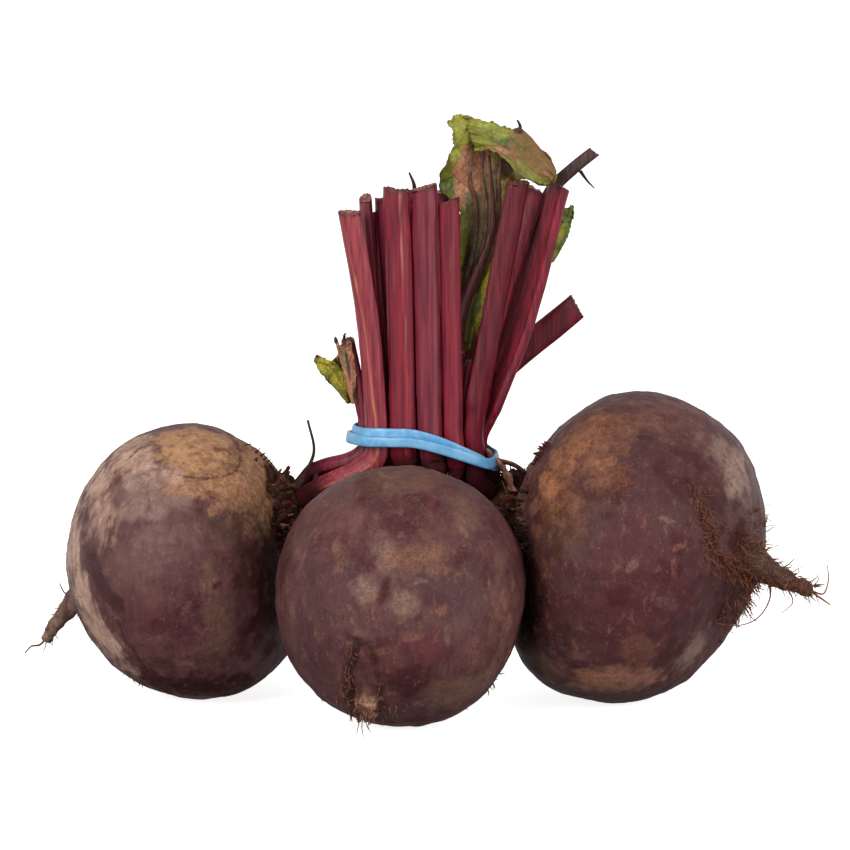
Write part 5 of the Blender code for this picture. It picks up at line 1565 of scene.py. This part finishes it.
def vein_field(down, over, pairs):
    """How near each point of a blade is to its midrib or a side vein, from 0 to 1."""
    aside = np.abs(over - 0.5)[None]
    rib = np.exp(-((aside / 0.025) ** 2)) * np.ones_like(down)[:, None]
    phase = (down[:, None] - 0.55 * aside) * pairs + 0.3 * np.sign(over - 0.5)[None]
    side = np.exp(-(((phase - np.round(phase)) / 0.07) ** 2)) * ease(aside / 0.05)
    fork = (down[:, None] + 0.35 * aside) * pairs * 2.0 + 0.4
    small = 0.55 * np.exp(-(((fork - np.round(fork)) / 0.09) ** 2)) * ease((aside - 0.1) / 0.1)
    return np.maximum(np.maximum(rib, side), small)


# A blade's thickness between its veins, what a vein adds to it, and the depth of its puckers.
BLADE_THICK = 0.55
VEIN_THICK = 0.25
PUCKER = 0.35


def make_leaf(name, leaf, seed, route, material):
    """A leaf remnant with raised veins, puckers, and its colour masks."""
    grid, down, over = leaf_grid(leaf, seed, route)
    veins = 0.8 * vein_field(down, over, leaf["veins"])
    rows, columns, _ = grid.shape
    across = np.gradient(grid, axis=1)
    along = np.gradient(grid, axis=0)
    normal = unit(np.cross(across, along))
    pucker = PUCKER * fractal(grid.reshape(-1, 3), 3.0, seed + 5, 3).reshape(rows, columns)
    half = 0.5 * (BLADE_THICK + VEIN_THICK * veins)[..., None]
    sheet = grid + (pucker * (1.0 - veins))[..., None] * normal
    both = np.concatenate([(sheet + half * side * normal).reshape(-1, 3) for side in (1.0, -1.0)])
    i = np.arange(rows - 1)[:, None]
    k = np.arange(columns - 1)[None]
    a, b = i * columns + k, (i + 1) * columns + k
    quads = np.stack((a, a + 1, b + 1, b), axis=-1).reshape(-1, 4)
    count = rows * columns
    rim = np.concatenate((np.arange(columns), np.arange(1, rows) * columns + columns - 1,
                          (rows - 1) * columns + np.arange(columns - 2, -1, -1),
                          np.arange(rows - 2, 0, -1) * columns))
    after = np.roll(rim, -1)
    wall = np.stack((rim, rim + count, after + count, after), axis=-1)
    faces = np.concatenate((quads, quads[:, ::-1] + count, wall)).tolist()
    masks = leaf_masks(name, grid, down, over, veins, seed)
    masks = {key: np.tile(np.broadcast_to(value, (rows, columns)).ravel(), 2)
             for key, value in masks.items()}
    nodes = [] if route is None else [name]
    add_piece(name.replace("leaf", "blade"), both, faces, material, masks, nodes, "leaf")
    return sheet


def leaf_masks(name, grid, down, over, veins, seed):
    """A blade's colour masks: its layers of colour, its dark edges, its dark marks with some painted
    shade, and its veins.
    """
    points = grid.reshape(-1, 3)
    pixels = to_pixels(points)
    seen = np.ones(len(points), bool)
    edge = fractal(points, 5.0, seed + 8)
    masks = {row[0]: np.zeros(len(points)) for row in LEAF_TONES}
    masks["dark"] = np.zeros(len(points))
    for kind, rows in LEAF_MARKS[name].items():
        masks[kind] = mark_mask(points, kind, rows, pixels, seen, edge, 0.0)
    masks = {key: value.reshape(grid.shape[:2]) for key, value in masks.items()}
    border = ease((np.abs(over - 0.5)[None] - 0.475) / 0.025)
    border = border * ease((edge.reshape(grid.shape[:2]) + 0.1) / 0.5)
    masks["dark"] = np.maximum(masks["dark"], 0.7 * border)
    masks["vein"] = veins
    return masks


# Dry scraps


# In the design's own coordinates: the papery strip by the band and its thin side strip, the spike
# by the left crown and the nub beside it, the dark tips with their radii, the husk that fills a
# gap, and how many husks are drawn among the stalks over the band.
STRIP = ((17.0, -3.0, 71.0), (19.6, -4.0, 68.4), (22.6, -4.6, 65.0), (24.4, -4.0, 60.0))
THIN_STRIP = ((19.6, -3.6, 68.6), (24.0, -2.2, 67.4), (28.2, 0.6, 64.6))
SPIKE = ((-36.0, 0.2, 60.0), (-33.4, -0.2, 64.6), (-31.2, -0.4, 70.0), (-32.8, 0.0, 79.4))
NUB = ((-30.6, -1.0, 60.0), (-30.4, -1.4, 64.0), (-29.6, -1.6, 66.2))
TIPS = ((((-3.2, 1.0, 140.0), (-3.0, 1.0, 145.0), (-4.4, 0.8, 148.6)), 1.0),
        (((25.6, -4.6, 159.0), (26.2, -4.8, 161.6), (25.4, -4.8, 163.4)), 0.8),
        (((43.4, 8.0, 148.6), (45.6, 8.0, 145.6), (47.4, 7.8, 143.8)), 0.7))
FILLER = ((-10.2, 0.5, 77.0), (-10.5, 0.8, 86.0), (-11.0, 1.0, 95.0))
HUSKS = 16
# Ribs beside the main leaf's midrib: where across the blade, and radius.
LEAF_RIBS = ((0.30, 0.8), (0.42, 0.6), (0.60, 0.8))


def make_trimmings(sheet):
    """A papery strip from the band to the right crown, a spike, dark tips, husks and leaf ribs."""
    steps = 30
    strip = smooth_line(STRIP, steps)
    papery = tube(strip, 2.3 * (1.0 + 0.2 * np.sin(np.arange(steps) * 0.7)), 12, 0.2)
    second = strand(THIN_STRIP, 20, (1.9, 0.9), 10, 0.25)
    add_piece("dry_sheath", *gather((papery, second)), SHEATH_MATERIAL)
    spike = tube(smooth_line(SPIKE, steps), 0.34 + 1.5 * np.exp(-np.arange(steps) / 6.0), 8)
    nub = strand(NUB, 12, (1.3, 0.5), 8, 0.6)
    add_piece("dry_spike", *gather((spike, nub)), SCRAP_MATERIAL)
    tips = [strand(line, 12, (radius, 0.3 * radius), 8, 0.55) for line, radius in TIPS]
    add_piece("dry_tips", *gather(tips), SCRAP_MATERIAL)
    draw = np.random.default_rng(SEED + 71)
    husks = []
    steps = 16
    for _ in range(HUSKS):
        foot = draw.uniform((7.0, -4.4, 76.0), (16.0, -1.0, 86.0))
        top = foot + draw.uniform((-1.0, -1.0, 6.0), (4.0, 1.0, 22.0))
        middle = 0.5 * (foot + top) + 0.8 * draw.normal(size=3)
        radii = draw.uniform(0.5, 1.2) * np.linspace(1.0, 0.2, steps)
        radii = radii * (1.0 + 0.2 * draw.normal(size=steps))
        husks.append(tube(smooth_line((foot, middle, top), steps), radii, 8, 0.4))
    husks.append(strand(FILLER, steps, (1.7, 1.7), 8, 0.6))
    ribs = []
    for share, radius in LEAF_RIBS:
        line = sheet[8:182, int(share * sheet.shape[1])] - (0.0, 0.5 * radius, 0.0)
        ribs.append(tube(smooth_line(line[::16], 80), radius * np.linspace(1.3, 0.8, 80), 12, 0.8))
    add_piece("husks", *gather(husks), HUSK_MATERIAL)
    add_piece("leaf_ribs", *gather(ribs), RIB_MATERIAL)


# Stage


# The floor's half size and level in metres, and the lamps: place, size in metres and power.
FLOOR = dict(reach=6.0, level=-0.0004)
LAMPS = {"key": ((-0.60, -0.95, 0.62), 0.6, 8.0), "fill": ((0.85, -0.75, 0.34), 0.6, 5.0),
         "top": ((0.0, 0.1, 1.2), 0.8, 2.0)}
LAMP_AIM = np.array((0.0, 0.0, 0.06))


def make_stage():
    """A pale floor, a pale surround, three soft lights and the camera at the photograph's angle."""
    mesh = bpy.data.meshes.new("floor")
    reach, level = FLOOR["reach"], FLOOR["level"]
    mesh.from_pydata([(-reach, -reach, level), (reach, -reach, level), (reach, reach, level),
                      (-reach, reach, level)], [], [(0, 1, 2, 3)])
    floor = linked("floor", mesh)
    graph = Graph("floor_white", 0.9, 0.0)
    graph.shader.inputs["Base Color"].default_value = (0.85, 0.85, 0.85, 1.0)
    graph.shader.inputs["Emission Color"].default_value = (1.0, 1.0, 1.0, 1.0)
    graph.shader.inputs["Emission Strength"].default_value = 0.83
    mesh.materials.append(graph.material)
    floor.visible_diffuse = False
    floor.visible_glossy = False
    make_world()
    for name, (where, size, power) in LAMPS.items():
        light = bpy.data.lights.new(name, "AREA")
        light.shape = "DISK"
        light.size = size
        light.energy = power
        light.color = (1.0, 0.96, 0.91)
        lamp = linked(name, light)
        lamp.location = where
        lamp.rotation_euler = look_along(LAMP_AIM - np.array(where))
    camera = linked("camera", bpy.data.cameras.new("camera"))
    camera.location = to_frame(camera_frame()[0])
    camera.rotation_euler = (math.radians(90.0 - VIEW["elevation"]), 0.0, 0.0)
    camera.data.sensor_width = SENSOR
    camera.data.lens = VIEW["focal"] * SENSOR / PHOTO_SIZE
    camera.data.clip_start = 0.05
    camera.data.clip_end = 30.0
    bpy.context.scene.camera = camera
    bpy.context.scene.view_settings.view_transform = "Standard"


def look_along(aim):
    """The turn that points a light along a direction."""
    x, y, z = unit(aim)
    return (math.acos(-z), 0.0, math.atan2(x, -y) + math.pi)


def make_world():
    """A white surround, dimmer above and below, so that undersides stay dark."""
    world = bpy.data.worlds.new("surround")
    bpy.context.scene.world = world
    world.use_nodes = True
    tree = world.node_tree
    back = tree.nodes["Background"]
    place = tree.nodes.new("ShaderNodeTexCoord")
    split = tree.nodes.new("ShaderNodeSeparateXYZ")
    ramp = tree.nodes.new("ShaderNodeValToRGB")
    shift = tree.nodes.new("ShaderNodeMath")
    shift.operation = "MULTIPLY_ADD"
    shift.inputs[1].default_value = 0.5
    shift.inputs[2].default_value = 0.5
    stops = ramp.color_ramp.elements
    stops[0].position = 0.0
    stops[0].color = (0.16, 0.15, 0.15, 1.0)
    stops[1].position = 1.0
    stops[1].color = (0.4, 0.4, 0.4, 1.0)
    for position, level in ((0.36, 0.30), (0.43, 1.02), (0.60, 1.02), (0.70, 0.45)):
        stop = stops.new(position)
        stop.color = (level, level, level, 1.0)
    tree.links.new(place.outputs["Generated"], split.inputs[0])
    tree.links.new(split.outputs["Z"], shift.inputs[0])
    tree.links.new(shift.outputs[0], ramp.inputs["Fac"])
    tree.links.new(ramp.outputs["Color"], back.inputs["Color"])


ROOTLET_MATERIALS = {
    "left": plain_material("rootlet_left", (92, 66, 52), (128, 98, 78), 900.0, 0.8),
    "front": plain_material("rootlet_front", (96, 54, 44), (130, 92, 66), 900.0, 0.8),
    "right": plain_material("rootlet_right", (92, 44, 34), (136, 84, 58), 900.0, 0.8),
}
SCRAP_MATERIAL = scrap_material()
SHEATH_MATERIAL = plain_material("dry_sheath", (104, 62, 56), (160, 118, 102), 420.0, 0.7)
RIB_MATERIAL = plain_material("leaf_rib", (92, 56, 54), (126, 106, 76), 260.0, 0.55)
HUSK_MATERIAL = plain_material("husk", (52, 26, 28), (104, 58, 48), 400.0, 0.7)

seats_found = seat_directions()
for root_name in ROOTS:
    crown_aims = np.array([aim for n, (_, aim) in seats_found.items()
                           if STALKS[n][0] == root_name])
    make_root(root_name)
    make_hairs(root_name)
    make_scraps(root_name, crown_aims)
stalk_routes, stalk_frames = make_stalks(seats_found)
make_band(stalk_routes, stalk_frames)
sheets = {}
for leaf_seed, (leaf_name, leaf_plan) in enumerate(LEAVES.items()):
    sheets[leaf_name] = make_leaf(leaf_name, leaf_plan, leaf_seed,
                                  stalk_routes.get(leaf_plan["stalk"]), leaf_material(leaf_name))
make_trimmings(sheets["leaf_main"])
make_stage()
